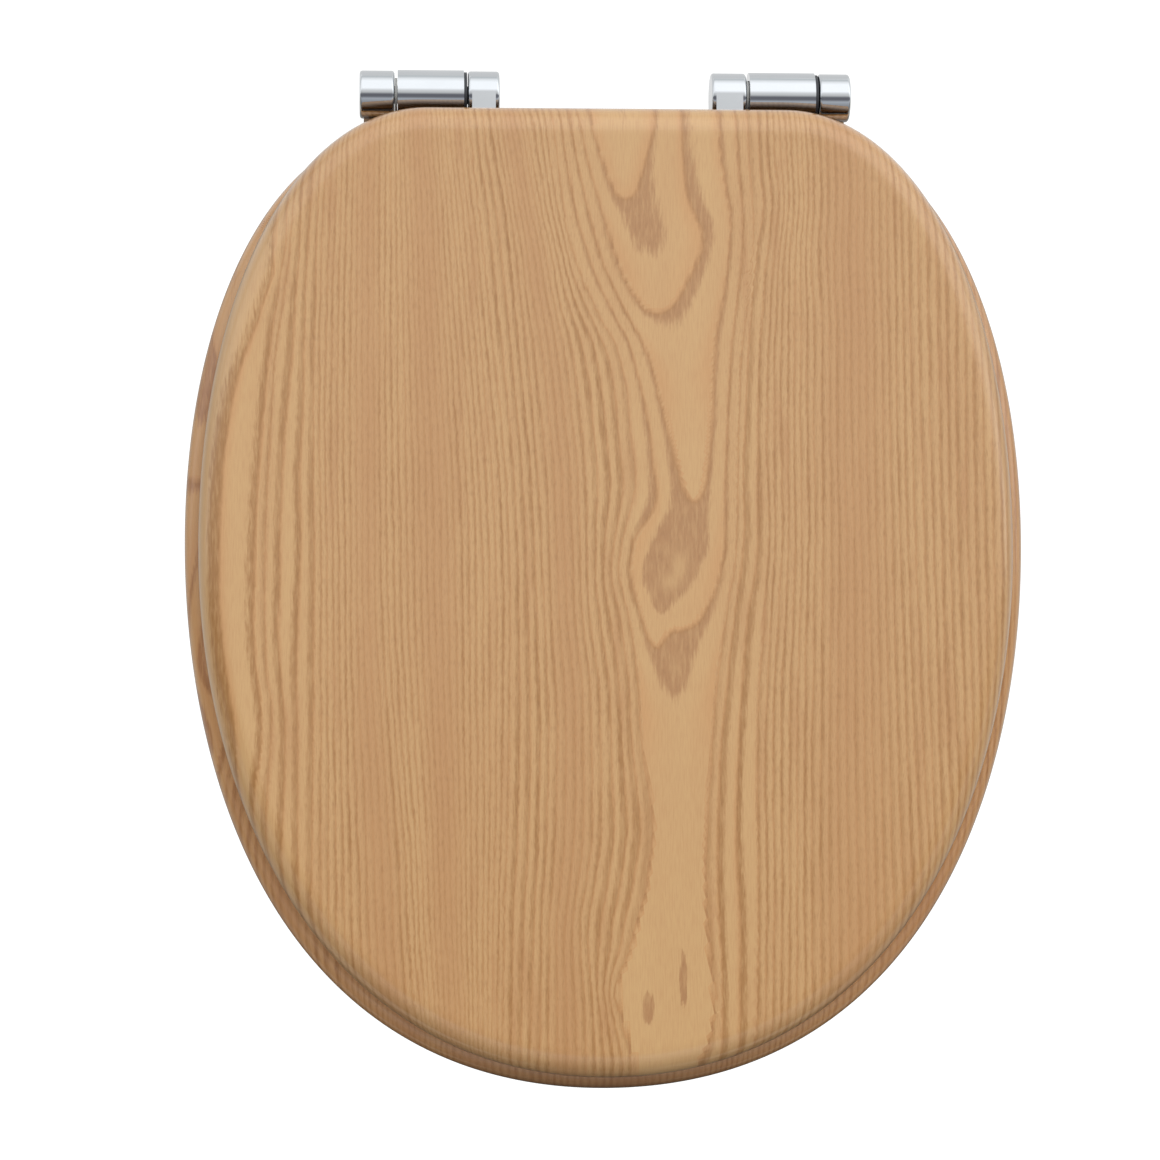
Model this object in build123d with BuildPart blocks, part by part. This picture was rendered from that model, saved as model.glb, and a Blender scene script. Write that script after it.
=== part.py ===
from build123d import *
import os

os.makedirs("parts", exist_ok=True)

# A wooden lavatory seat with its lid shut, on two chromed soft-close barrel hinges.
# Origin: midway between the two fixing studs, on the plane of the bowl rim.
# +X to the right, +Y to the back, +Z up; the front of the seat points along -Y.
# All sizes are in millimetres.

# Seat ring
seat_width = 378.0
seat_length = 432.0
seat_thickness = 18.0
seat_nose_length = 245.0
seat_back_width = 180.0
seat_nose_fullness = 0.72
seat_top_round = 8.0
seat_under_round = 4.0
side_rim = 74.0
front_rim = 70.0
back_rim = 77.0
opening_nose_length = 150.0

# Lid: the ring shows past it by the reveals
side_reveal = 7.0
front_reveal = 6.7
lid_thickness = 16.0
lid_nose_length = 235.0
lid_back_width = 160.0
lid_nose_fullness = 0.68
lid_top_round = 10.0
lid_under_round = 3.0

# Shape factors shared by both outlines, as shares of each curve's own reach
flank_fullness = 0.50
shoulder_fullness = 0.60
corner_fullness = 0.56
oval_fullness = 0.56

# Bumpers under the seat and under the lid
seat_bumper_height = 10.0
seat_bumper_radius = 11.0
lid_bumper_height = 5.0
lid_bumper_radius = 8.0
bumper_draft = 1.5
bumper_rim = 1.0
spigot_radius = 3.0
spigot_length = 8.0
front_bumper_inset = 104.0
front_bumper_setback = 68.0
rear_bumper_inset = 57.0
rear_bumper_setback = 72.0

# Hinge line: sections from left to right along each hinge
fixing_spacing = 155.0
hinge_overhang = 33.3
axis_setback = 14.0
barrel_radius = 11.2
knuckle_radius = 10.8
left_knuckle = 15.7
washer_gap = 1.4
barrel_length = 29.8
collar_gap = 1.8
right_knuckle = 14.2
barrel_edge = 0.5
knuckle_edge = 1.3
lid_setback = 8.3
seat_setback = 15.0

# Hinge arms
arm_plate = 3.5
arm_inset = 1.8
arm_reach = 54.0
arm_end_round = 4.0
arm_gap = 0.8
gusset = 6.0

# Screws that hold the arms to the wood
screw_radius = 2.0
screw_head_radius = 3.8
screw_bite = 11.0
screw_edge = 9.0
screw_pitch = 28.0
screw_hole_clearance = 0.25
countersink_angle = 90.0

# Hinge post and foot
foot_width = 24.0
foot_thickness = 5.5
foot_front = 26.0
foot_back_clearance = 0.5
foot_edge = 1.5
pad_thickness = 1.5
neck_width = 20.0
neck_depth = 13.0

# Damper, pivot pin and spacers inside the barrel
damper_radius = 7.5
damper_length = 26.0
damper_wall = 3.0
collar_thickness = 1.4
collar_step = 0.9
rotor_radius = 5.0
shaft_radius = 4.0
key_flats = 5.6
key_length = 9.0
pin_radius = 4.0
pin_depth = 10.0
thrust_washer_radius = 7.5
thrust_washer_thickness = 1.1
running_clearance = 0.05
bore_end_clearance = 0.3

# Fixing studs, cone washers and wing nuts below the rim
stud_radius = 4.0
thread_radius = 3.7
stud_length = 66.0
stud_grip = 4.0
rim_depth = 18.0
cone_washer_height = 6.0
cone_washer_top = 9.0
cone_washer_base = 13.0
nut_height = 12.0
nut_hub_radius = 8.5
nut_collar_radius = 13.0
nut_collar_height = 3.0
wing_span = 40.0
wing_thickness = 4.0
wing_drop = 5.0
wing_round = 5.0
nut_clearance = 0.15
pad_hole_clearance = 0.4

# Levels and lines that follow from the sizes above
seat_bottom = seat_bumper_height
seat_top = seat_bottom + seat_thickness
lid_bottom = seat_top + lid_bumper_height
axis_z = lid_bottom - knuckle_radius
axis_y = axis_setback
seat_back = axis_y - seat_setback
seat_front = seat_back - seat_length
lid_back = axis_y - lid_setback
lid_front = seat_front + front_reveal
lid_width = seat_width - 2 * side_reveal
opening_width = seat_width - 2 * side_rim
opening_front = seat_front + front_rim
opening_back = seat_back - back_rim
foot_top = pad_thickness + foot_thickness
foot_back = axis_y + foot_back_clearance
hinge_length = left_knuckle + washer_gap + barrel_length + collar_gap + right_knuckle
hinge_reach = fixing_spacing / 2 + hinge_overhang
hinge_start = {"left": -hinge_reach, "right": hinge_reach - hinge_length}
stud_x = {"left": -fixing_spacing / 2, "right": fixing_spacing / 2}
pivot_hole = pin_radius + running_clearance
screw_hole = screw_radius + screw_hole_clearance
head_hole = screw_head_radius + screw_hole_clearance
on_base = (Align.CENTER, Align.CENTER, Align.MIN)


def rim_outline(width, front, back, nose_length, back_width, nose_fullness):
    """Closed rim: a straight back, rounded shoulders, and a full nose at the front."""
    half = width / 2
    widest = front + nose_length
    shoulder = back - widest
    corner = half - back_width / 2
    with BuildLine() as rim:
        Line((0, back), (back_width / 2, back))
        Bezier(
            (back_width / 2, back),
            (back_width / 2 + corner * corner_fullness, back),
            (half, widest + shoulder * shoulder_fullness),
            (half, widest),
        )
        Bezier(
            (half, widest),
            (half, widest - nose_length * flank_fullness),
            (half * nose_fullness, front),
            (0, front),
        )
        mirror(about=Plane.YZ)
    return rim.line


def oval_outline(width, front, back, nose_length):
    """Closed egg: its widest line lies nose_length behind its front."""
    half = width / 2
    widest = front + nose_length
    with BuildLine() as oval:
        Bezier(
            (0, back),
            (half * oval_fullness, back),
            (half, widest + (back - widest) * oval_fullness),
            (half, widest),
        )
        Bezier(
            (half, widest),
            (half, widest - nose_length * oval_fullness),
            (half * oval_fullness, front),
            (0, front),
        )
        mirror(about=Plane.YZ)
    return oval.line


def foot_outline(x):
    """Closed foot: a straight back below the barrel and a half-round toe towards the front."""
    half = foot_width / 2
    toe = half - foot_front
    with BuildLine() as foot:
        Polyline((x - half, toe), (x - half, foot_back), (x + half, foot_back), (x + half, toe))
        ThreePointArc((x + half, toe), (x, -foot_front), (x - half, toe))
    return foot.line


def along_hinge(x):
    """Plane square to the hinge axis at x, with its own x axis along +Y and its y axis up."""
    return Plane(origin=(x, axis_y, axis_z), x_dir=(0, 1, 0), z_dir=(1, 0, 0))


def facing_down(x, y, z):
    """Plane at a point on an underside, looking down."""
    return Plane(origin=(x, y, z), x_dir=(1, 0, 0), z_dir=(0, 0, -1))


def sections(side):
    """Ends of the three turned sections of one hinge: left knuckle, barrel, right knuckle."""
    left_end = hinge_start[side]
    barrel_start = left_end + left_knuckle + washer_gap
    right_start = barrel_start + barrel_length + collar_gap
    return (
        (left_end, left_end + left_knuckle),
        (barrel_start, barrel_start + barrel_length),
        (right_start, right_start + right_knuckle),
    )


def knuckle_span(side, leaf):
    """Ends of the knuckle that carries the seat (outer) or the lid (inner) on one hinge."""
    on_left = (side == "left") == (leaf == "seat")
    start, end = sections(side)[0 if on_left else 2]
    return start, end, on_left


def screw_points(leaf):
    """Centres of the screws of one leaf's two arms, on the outer face of the arm plates."""
    root = seat_back if leaf == "seat" else lid_back
    level = (seat_bottom if leaf == "seat" else lid_bottom) - arm_plate
    points = []
    for side in ("left", "right"):
        x0, x1, _ = knuckle_span(side, leaf)
        for step in range(2):
            y = root - arm_reach + screw_edge + step * screw_pitch
            points.append(((x0 + x1) / 2, y, level))
    return points


def bumper_points(leaf):
    """Centres of the four bumpers of one leaf, on its underside, named by place."""
    level = seat_bottom if leaf == "seat" else lid_bottom
    front_x = seat_width / 2 - front_bumper_inset
    front_y = seat_front + front_bumper_setback
    rear_x = seat_width / 2 - rear_bumper_inset
    rear_y = seat_back - rear_bumper_setback
    return {
        "front_left": (-front_x, front_y, level),
        "front_right": (front_x, front_y, level),
        "rear_left": (-rear_x, rear_y, level),
        "rear_right": (rear_x, rear_y, level),
    }


# Lid: a flat board with a generous roundover above and a small one below
with BuildPart() as lid:
    with BuildSketch(Plane.XY.offset(lid_bottom)):
        with BuildLine():
            rim = (lid_width, lid_front, lid_back, lid_nose_length, lid_back_width, lid_nose_fullness)
            add(rim_outline(*rim))
        make_face()
    extrude(amount=lid_thickness)
    fillet(lid.faces().sort_by(Axis.Z)[-1].edges(), lid_top_round)
    fillet(lid.faces().sort_by(Axis.Z)[0].edges(), lid_under_round)
    with Locations(*[facing_down(x, y, lid_bottom) for x, y, z in screw_points("lid")]):
        Hole(screw_hole, screw_bite)
    with Locations(*[facing_down(*point) for point in bumper_points("lid").values()]):
        Hole(spigot_radius + running_clearance, spigot_length)
lid.part.label = "lid"
export_step(lid.part, "parts/lid.step")

# Seat ring: the same kind of rim with an egg-shaped opening, rounded on all four edges
with BuildPart() as seat_ring:
    with BuildSketch(Plane.XY.offset(seat_bottom)):
        with BuildLine():
            rim = (seat_width, seat_front, seat_back, seat_nose_length, seat_back_width, seat_nose_fullness)
            add(rim_outline(*rim))
        make_face()
        with BuildSketch(mode=Mode.SUBTRACT):
            with BuildLine():
                add(oval_outline(opening_width, opening_front, opening_back, opening_nose_length))
            make_face()
    extrude(amount=seat_thickness)
    fillet(seat_ring.faces().sort_by(Axis.Z)[-1].edges(), seat_top_round)
    fillet(seat_ring.faces().sort_by(Axis.Z)[0].edges(), seat_under_round)
    with Locations(*[facing_down(x, y, seat_bottom) for x, y, z in screw_points("seat")]):
        Hole(screw_hole, screw_bite)
    with Locations(*[facing_down(*point) for point in bumper_points("seat").values()]):
        Hole(spigot_radius + running_clearance, spigot_length)
seat_ring.part.label = "seat_ring"
export_step(seat_ring.part, "parts/seat_ring.step")

# Bumpers: tapered buttons with a spigot pressed into the wood
for leaf, height, radius in (
    ("seat", seat_bumper_height, seat_bumper_radius),
    ("lid", lid_bumper_height, lid_bumper_radius),
):
    for place, (x, y, z) in bumper_points(leaf).items():
        with BuildPart() as bumper:
            with Locations((x, y, z - height)):
                Cone(radius - bumper_draft, radius, height, align=on_base)
            chamfer(bumper.edges().sort_by(Axis.Z)[0], bumper_rim)
            with BuildSketch(Plane.XY.offset(z)):
                with Locations((x, y)):
                    Circle(spigot_radius)
            extrude(amount=spigot_length - bore_end_clearance)
        bumper.part.label = f"{leaf}_bumper_{place}"
        export_step(bumper.part, f"parts/{leaf}_bumper_{place}.step")

# Arms: a knuckle on the hinge line, a web, and a plate screwed under the board.
# The lid's plate leaves the top of its knuckle; the seat's plate hangs below its own.
for leaf in ("seat", "lid"):
    board_back = -seat_setback if leaf == "seat" else -lid_setback
    plate_top = (seat_bottom if leaf == "seat" else lid_bottom) - axis_z
    plate_under = plate_top - arm_plate
    plate_end = board_back - arm_reach
    for side in ("left", "right"):
        x0, x1, on_left = knuckle_span(side, leaf)
        with BuildPart() as arm:
            with BuildSketch(along_hinge(x0)):
                Circle(knuckle_radius)
            extrude(amount=x1 - x0)
            fillet(arm.edges().filter_by(GeomType.CIRCLE), knuckle_edge)
            with BuildSketch(along_hinge(x0 + arm_inset)):
                with BuildLine():
                    if leaf == "seat":
                        Polyline(
                            (0, -knuckle_radius + knuckle_edge),
                            (board_back + arm_gap, plate_under),
                            (plate_end, plate_under),
                            (plate_end, plate_top),
                            (board_back + arm_gap, plate_top),
                            (board_back + arm_gap, plate_top + gusset),
                            (-knuckle_radius + knuckle_edge, 0),
                            (0, 0),
                            close=True,
                        )
                    else:
                        Polyline(
                            (0, plate_top),
                            (plate_end, plate_top),
                            (plate_end, plate_under),
                            (-knuckle_radius - gusset, plate_under),
                            (-knuckle_radius + knuckle_edge, 0),
                            (0, 0),
                            close=True,
                        )
                make_face()
            extrude(amount=x1 - x0 - 2 * arm_inset)
            fillet(arm.edges().filter_by(Axis.Z).group_by(Axis.Y)[0], arm_end_round)
            with Locations(*[facing_down(*p) for p in screw_points(leaf) if x0 < p[0] < x1]):
                CounterSinkHole(screw_hole, head_hole, 2 * arm_plate, countersink_angle)
            if on_left:
                with BuildSketch(along_hinge(x1)):
                    Circle(pivot_hole)
                extrude(amount=-pin_depth - bore_end_clearance, mode=Mode.SUBTRACT)
            else:
                with BuildSketch(along_hinge(x0)):
                    Circle(shaft_radius + running_clearance)
                    Rectangle(
                        2 * knuckle_radius, key_flats + 2 * running_clearance, mode=Mode.INTERSECT
                    )
                extrude(amount=key_length + bore_end_clearance, mode=Mode.SUBTRACT)
        arm.part.label = f"{leaf}_arm_{side}"
        export_step(arm.part, f"parts/{leaf}_arm_{side}.step")

# Countersunk screws, one group for each board
for leaf in ("seat", "lid"):
    with BuildPart() as screws:
        for x, y, z in screw_points(leaf):
            head_height = screw_head_radius - screw_radius
            length = arm_plate + screw_bite - bore_end_clearance
            with BuildSketch(Plane(origin=(x, y, z), x_dir=(1, 0, 0), z_dir=(0, -1, 0))):
                with BuildLine():
                    Polyline(
                        (0, 0),
                        (screw_head_radius, 0),
                        (screw_radius, head_height),
                        (screw_radius, length - screw_radius),
                        (0, length),
                        close=True,
                    )
                make_face()
            revolve(axis=Axis((x, y, z), (0, 0, 1)))
    screws.part.label = f"{leaf}_arm_screws"
    export_step(screws.part, f"parts/{leaf}_arm_screws.step")

for side in ("left", "right"):
    (_, left_face), (b0, b1), (right_face, _) = sections(side)
    barrel_middle = (b0 + b1) / 2
    foot_x = stud_x[side]

    # Post: the barrel's fixed middle, a neck, and a foot that reaches forward under the seat
    with BuildPart() as post:
        with BuildSketch(Plane.XY.offset(pad_thickness)):
            with BuildLine():
                add(foot_outline(foot_x))
            make_face()
        extrude(amount=foot_thickness)
        fillet(post.faces().sort_by(Axis.Z)[-1].edges().sort_by(Axis.Y)[:-1], foot_edge)
        with BuildSketch(along_hinge(barrel_middle - neck_width / 2)):
            with BuildLine():
                Polyline(
                    (foot_back_clearance, foot_top - foot_edge - axis_z),
                    (foot_back_clearance, 0),
                    (barrel_edge - barrel_radius, 0),
                    (-neck_depth, foot_top - foot_edge - axis_z),
                    close=True,
                )
            make_face()
        extrude(amount=neck_width)
        with BuildSketch(along_hinge(b0)):
            Circle(barrel_radius)
        extrude(amount=barrel_length)
        rims = post.edges().filter_by(GeomType.CIRCLE).group_by(SortBy.RADIUS)[-1]
        fillet(rims, barrel_edge)
        with BuildSketch(along_hinge(b1)):
            Circle(damper_radius + running_clearance)
        extrude(amount=-damper_length - bore_end_clearance, mode=Mode.SUBTRACT)
        with BuildSketch(along_hinge(b0)):
            Circle(pivot_hole)
        extrude(amount=barrel_length - damper_length, mode=Mode.SUBTRACT)
        with BuildSketch(Plane.XY.offset(pad_thickness)):
            with Locations((foot_x, 0)):
                Circle(thread_radius + running_clearance)
        extrude(amount=stud_grip, mode=Mode.SUBTRACT)
    post.part.label = f"hinge_post_{side}"
    export_step(post.part, f"parts/hinge_post_{side}.step")

    # Pad: a thin rubber sole of the foot's outline
    with BuildPart() as pad:
        with BuildSketch():
            with BuildLine():
                add(foot_outline(foot_x))
            make_face()
            with Locations((foot_x, 0)):
                Circle(stud_radius + pad_hole_clearance, mode=Mode.SUBTRACT)
        extrude(amount=pad_thickness)
    pad.part.label = f"foot_pad_{side}"
    export_step(pad.part, f"parts/foot_pad_{side}.step")

    # Fixing stud: threaded into the foot, with a plain shank through the bowl rim
    with BuildPart() as stud:
        with BuildSketch(Plane.XY.offset(pad_thickness + stud_grip)):
            with Locations((foot_x, 0)):
                Circle(thread_radius)
        extrude(amount=-pad_thickness - stud_grip - stud_length)
        with BuildSketch():
            with Locations((foot_x, 0)):
                Circle(stud_radius)
        extrude(amount=-rim_depth)
        chamfer(stud.edges().sort_by(Axis.Z)[0], thread_radius / 4)
    stud.part.label = f"fixing_stud_{side}"
    export_step(stud.part, f"parts/fixing_stud_{side}.step")

    # Cone washer: soft, seated against the underside of the bowl rim
    washer_base = -rim_depth - cone_washer_height
    with BuildPart() as cone_washer:
        with Locations((foot_x, 0, washer_base)):
            Cone(cone_washer_base, cone_washer_top, cone_washer_height, align=on_base)
        with Locations((foot_x, 0, -rim_depth)):
            Hole(thread_radius + nut_clearance)
    cone_washer.part.label = f"cone_washer_{side}"
    export_step(cone_washer.part, f"parts/cone_washer_{side}.step")

    # Wing nut: a flanged hub with two rounded wings
    with BuildPart() as wing_nut:
        with BuildSketch(Plane.XY.offset(washer_base)):
            with Locations((foot_x, 0)):
                Circle(nut_collar_radius)
        extrude(amount=-nut_collar_height)
        with BuildSketch(Plane.XY.offset(washer_base)):
            with Locations((foot_x, 0)):
                Circle(nut_hub_radius)
        extrude(amount=-nut_height)
        with BuildSketch(Plane(origin=(foot_x, 0, washer_base), x_dir=(1, 0, 0), z_dir=(0, -1, 0))):
            with Locations((0, -(nut_collar_height + nut_height + wing_drop) / 2)):
                RectangleRounded(wing_span, nut_height + wing_drop - nut_collar_height, wing_round)
        extrude(amount=wing_thickness / 2, both=True)
        with Locations((foot_x, 0, washer_base)):
            Hole(thread_radius + nut_clearance)
    wing_nut.part.label = f"wing_nut_{side}"
    export_step(wing_nut.part, f"parts/wing_nut_{side}.step")

    # Damper: a cartridge in the barrel, with a collar between barrel and right knuckle
    with BuildPart() as damper:
        with BuildSketch(along_hinge(b1)):
            Circle(damper_radius)
        extrude(amount=-damper_length)
        with BuildSketch(along_hinge(b1)):
            Circle(barrel_radius - collar_step)
        extrude(amount=collar_thickness)
        with BuildSketch(along_hinge(b1 - damper_wall)):
            Circle(rotor_radius + running_clearance)
        extrude(amount=2 * damper_wall - damper_length, mode=Mode.SUBTRACT)
        with BuildSketch(along_hinge(b1 - damper_wall)):
            Circle(shaft_radius + running_clearance)
        extrude(amount=damper_wall + collar_thickness, mode=Mode.SUBTRACT)
    damper.part.label = f"damper_{side}"
    export_step(damper.part, f"parts/damper_{side}.step")

    # Rotor: turns in the damper and keys into the right knuckle
    with BuildPart() as rotor:
        with BuildSketch(along_hinge(b1 - damper_wall - bore_end_clearance)):
            Circle(rotor_radius)
        extrude(amount=2 * damper_wall - damper_length + 2 * bore_end_clearance)
        with BuildSketch(along_hinge(b1 - damper_wall - bore_end_clearance)):
            Circle(shaft_radius)
        extrude(amount=damper_wall + bore_end_clearance + collar_gap)
        with BuildSketch(along_hinge(right_face)):
            Circle(shaft_radius)
            Rectangle(2 * knuckle_radius, key_flats, mode=Mode.INTERSECT)
        extrude(amount=key_length)
    rotor.part.label = f"damper_rotor_{side}"
    export_step(rotor.part, f"parts/damper_rotor_{side}.step")

    # Pivot pin: fast in the barrel's left wall, running in the left knuckle
    with BuildPart() as pin:
        with BuildSketch(along_hinge(left_face - pin_depth)):
            Circle(pin_radius)
        extrude(amount=pin_depth + washer_gap + barrel_length - damper_length - bore_end_clearance)
        chamfer(pin.edges().filter_by(GeomType.CIRCLE), pin_radius / 8)
    pin.part.label = f"hinge_pin_{side}"
    export_step(pin.part, f"parts/hinge_pin_{side}.step")

    # Thrust washer: a thin nylon ring on the pin, smaller than the barrel
    with BuildPart() as thrust_washer:
        with BuildSketch(along_hinge(left_face + (washer_gap - thrust_washer_thickness) / 2)):
            Circle(thrust_washer_radius)
            Circle(pivot_hole, mode=Mode.SUBTRACT)
        extrude(amount=thrust_washer_thickness)
    thrust_washer.part.label = f"thrust_washer_{side}"
    export_step(thrust_washer.part, f"parts/thrust_washer_{side}.step")
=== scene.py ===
"""Looks of a veneered seat and its lid on two chromed soft-close barrel hinges.

Every object is in metres, in the part's own frame: +X to the right, the front towards -Y, +Z up,
with the origin midway between the two fixing studs, on the plane of the bowl rim.
"""

import logging
import math
from dataclasses import dataclass
from enum import Enum
from functools import reduce

import bpy
import numpy as np
from mathutils import Matrix, Vector


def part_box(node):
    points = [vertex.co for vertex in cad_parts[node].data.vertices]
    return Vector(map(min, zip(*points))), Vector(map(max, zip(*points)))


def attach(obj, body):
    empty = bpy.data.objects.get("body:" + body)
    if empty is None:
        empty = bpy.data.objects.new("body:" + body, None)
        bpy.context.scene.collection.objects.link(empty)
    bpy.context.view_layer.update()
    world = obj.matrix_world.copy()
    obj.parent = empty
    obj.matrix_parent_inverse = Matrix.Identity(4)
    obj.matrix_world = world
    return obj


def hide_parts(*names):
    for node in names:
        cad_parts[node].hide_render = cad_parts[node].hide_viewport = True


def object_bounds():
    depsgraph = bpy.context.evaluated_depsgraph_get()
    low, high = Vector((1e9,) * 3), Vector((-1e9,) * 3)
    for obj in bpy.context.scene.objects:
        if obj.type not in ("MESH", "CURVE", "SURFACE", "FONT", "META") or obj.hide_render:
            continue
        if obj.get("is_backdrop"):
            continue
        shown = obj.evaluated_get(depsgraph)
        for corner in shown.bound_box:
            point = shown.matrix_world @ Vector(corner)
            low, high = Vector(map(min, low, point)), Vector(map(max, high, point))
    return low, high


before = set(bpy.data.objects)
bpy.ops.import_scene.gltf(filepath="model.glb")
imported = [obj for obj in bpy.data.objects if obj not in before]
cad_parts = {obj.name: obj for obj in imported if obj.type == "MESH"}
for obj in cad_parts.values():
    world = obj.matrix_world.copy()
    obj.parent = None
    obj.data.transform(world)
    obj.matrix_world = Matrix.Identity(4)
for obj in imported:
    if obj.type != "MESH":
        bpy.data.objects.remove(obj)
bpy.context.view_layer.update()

log = logging.getLogger("seat")

MM = 0.001
SIDES = ("left", "right")
Point = tuple[float, float]
Triple = tuple[float, float, float]
Colour = tuple[float, float, float, float]
Skin = tuple[np.ndarray, np.ndarray, np.ndarray]
Socket = bpy.types.NodeSocket


class Body(Enum):
    """The moving bodies that pieces ride on."""

    BASE = "hinge_base"
    SEAT = "seat"
    LID = "lid"


class Slot(Enum):
    """The record's material slots that the pieces made here take their finish from."""

    WOOD = "wood"
    STEEL = "zinc_steel"


@dataclass(frozen=True)
class Ramp:
    """A smooth climb or fall between two values of what it follows."""

    low: float
    high: float
    start: float = 0.0
    end: float = 1.0


def shade(red: int, green: int, blue: int) -> Colour:
    """Turn a screen colour into the linear colour that a shader takes.

    Args:
        red: Red, 0 to 255.
        green: Green, 0 to 255.
        blue: Blue, 0 to 255.

    Returns:
        The same colour as linear red, green and blue with a full alpha.
    """
    screen = np.array((red, green, blue)) / 255
    linear = np.where(screen <= 0.04045, screen / 12.92, ((screen + 0.055) / 1.055) ** 2.4)
    return (*(float(v) for v in linear), 1.0)


def shell(rows: np.ndarray, loop: bool) -> Skin:
    """Skin a grid of stations whose columns always close on themselves.

    Point (i, j) of the grid is row i of column j. Neighbouring rows and columns bound a quad. The first and
    the last row either meet, so that the skin is a ring, or are each shut by a fan about their mean point.
    The faces are turned so that the enclosed volume comes out positive.

    Args:
        rows: Array of rows by columns by channels, of which the first three are x, y and z.
        loop: Whether the last row joins the first.

    Returns:
        The points with all their channels, the quads, and the triangles of the two fans.
    """
    height, width, channels = rows.shape
    index = np.arange(height * width).reshape(height, width)
    beside = np.roll(index, -1, axis=1)
    points = rows.reshape(-1, channels)
    if loop:
        below, below_beside = np.roll(index, -1, axis=0), np.roll(beside, -1, axis=0)
        quads = np.stack([index, beside, below_beside, below], axis=-1).reshape(-1, 4)
        fans = np.zeros((0, 3), int)
    else:
        quads = np.stack([index[:-1], beside[:-1], beside[1:], index[1:]], axis=-1).reshape(-1, 4)
        first, last = len(points), len(points) + 1
        points = np.vstack([points, rows[0].mean(axis=0), rows[-1].mean(axis=0)])
        opening = np.stack([beside[0], index[0], np.full(width, first)], axis=-1)
        closing = np.stack([index[-1], beside[-1], np.full(width, last)], axis=-1)
        fans = np.vstack([opening, closing])
    triangles = np.vstack([quads[:, [0, 1, 2]], quads[:, [0, 2, 3]], fans])
    a, b, c = (points[triangles[:, k], :3] for k in range(3))
    if np.einsum("ij,ij->i", a, np.cross(b, c)).sum() < 0:
        quads, fans = quads[:, ::-1], fans[:, ::-1]
    return points, quads, fans


def make_piece(name: str, points: np.ndarray, faces: list, sharp: float = 0.0) -> bpy.types.Object:
    """Put finished points and faces into a smooth mesh object at the origin.

    Args:
        name: Name of the piece.
        points: Points, of which the first three channels are x, y and z in metres.
        faces: Lists of point numbers.
        sharp: Angle in degrees past which an edge shows as a crease, or 0 for none.

    Returns:
        The linked object.
    """
    mesh = bpy.data.meshes.new(name)
    mesh.from_pydata(points[:, :3].tolist(), [], faces)
    mesh.shade_smooth()
    if sharp:
        mesh.set_sharp_from_angle(angle=math.radians(sharp))
    mesh.update()
    piece = bpy.data.objects.new(name, mesh)
    bpy.context.scene.collection.objects.link(piece)
    return piece


def settle(piece: bpy.types.Object, finish: bpy.types.Material, body: Body, node: str) -> None:
    """Dress a piece, let it ride on its body and hide the node that it stands for.

    Args:
        piece: The piece.
        finish: Its material.
        body: Body that it rides on.
        node: Node that it stands for.
    """
    piece.data.materials.append(finish)
    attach(piece, body.value)
    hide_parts(node)
    log.info("%s: %d points, %d faces", piece.name, len(piece.data.vertices), len(piece.data.polygons))


def join_shells(shells: list[Skin]) -> tuple[np.ndarray, list]:
    """Put several closed skins into one list of points and one list of faces.

    Args:
        shells: Points, quads and fans of each skin, as shell gives them.

    Returns:
        All points, and all faces with their numbers moved on past the skins before.
    """
    starts = np.cumsum([0] + [len(points) for points, _, _ in shells])
    faces: list = []
    for start, (_, quads, fans) in zip(starts, shells):
        faces += (quads + start).tolist() + (fans + start).tolist()
    return np.vstack([points for points, _, _ in shells]), faces


def smooth_line(corners: tuple[Point, ...], steps: int = 8) -> np.ndarray:
    """Draw a Catmull-Rom curve through given points.

    Each span between two points is the cubic that passes through both, with slopes set by their neighbours.

    Args:
        corners: Points that the curve passes through.
        steps: Samples in each span.

    Returns:
        Sampled points of the curve.
    """
    knots = np.asarray(corners, float)
    ends = np.vstack([2 * knots[0] - knots[1], knots, 2 * knots[-1] - knots[-2]])
    t = np.linspace(0, 1, steps, endpoint=False)[None, :, None]
    p0, p1, p2, p3 = (ends[k : len(ends) - 3 + k][:, None] for k in range(4))
    square = (2 * p0 - 5 * p1 + 4 * p2 - p3) * t**2
    cube = (3 * (p1 - p2) + p3 - p0) * t**3
    curve = 2 * p1 + (p2 - p0) * t + square + cube
    return np.vstack([curve.reshape(-1, 2) / 2, knots[-1:]])


def bezier(p0: Point, p1: Point, p2: Point, p3: Point, steps: int = 200) -> np.ndarray:
    """Sample the cubic Bernstein blend of four control points.

    Args:
        p0: Start.
        p1: First handle.
        p2: Second handle.
        p3: End.
        steps: Number of samples, both ends counted.

    Returns:
        Sampled points.
    """
    t = np.linspace(0, 1, steps)[:, None]
    a, b, c, d = (np.asarray(p, float) for p in (p0, p1, p2, p3))
    return (1 - t) ** 3 * a + 3 * (1 - t) ** 2 * t * b + 3 * (1 - t) * t**2 * c + t**3 * d


def even_loop(half: np.ndarray, count: int) -> np.ndarray:
    """Mirror the right half of an outline and space its points evenly.

    Args:
        half: Points of the right half, from the middle of the back to the middle of the front.
        count: Points wanted around the whole loop.

    Returns:
        Points at equal arc lengths, clockwise from above, without repeating the first.
    """
    loop = np.vstack([half, half[::-1][1:] * (-1, 1)])
    lengths = np.concatenate([[0], np.cumsum(np.linalg.norm(np.diff(loop, axis=0), axis=1))])
    stations = np.linspace(0, lengths[-1], count, endpoint=False)
    return np.column_stack([np.interp(stations, lengths, loop[:, k]) for k in range(2)])


def outward_normals(loop: np.ndarray) -> np.ndarray:
    """Find the normals of a clockwise loop: central differences, turned a quarter turn to the left.

    Args:
        loop: Points of the loop.

    Returns:
        One unit normal for each point, pointing out of the loop.
    """
    along = np.roll(loop, -1, axis=0) - np.roll(loop, 1, axis=0)
    along /= np.linalg.norm(along, axis=1, keepdims=True)
    return np.column_stack([-along[:, 1], along[:, 0]])


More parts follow.
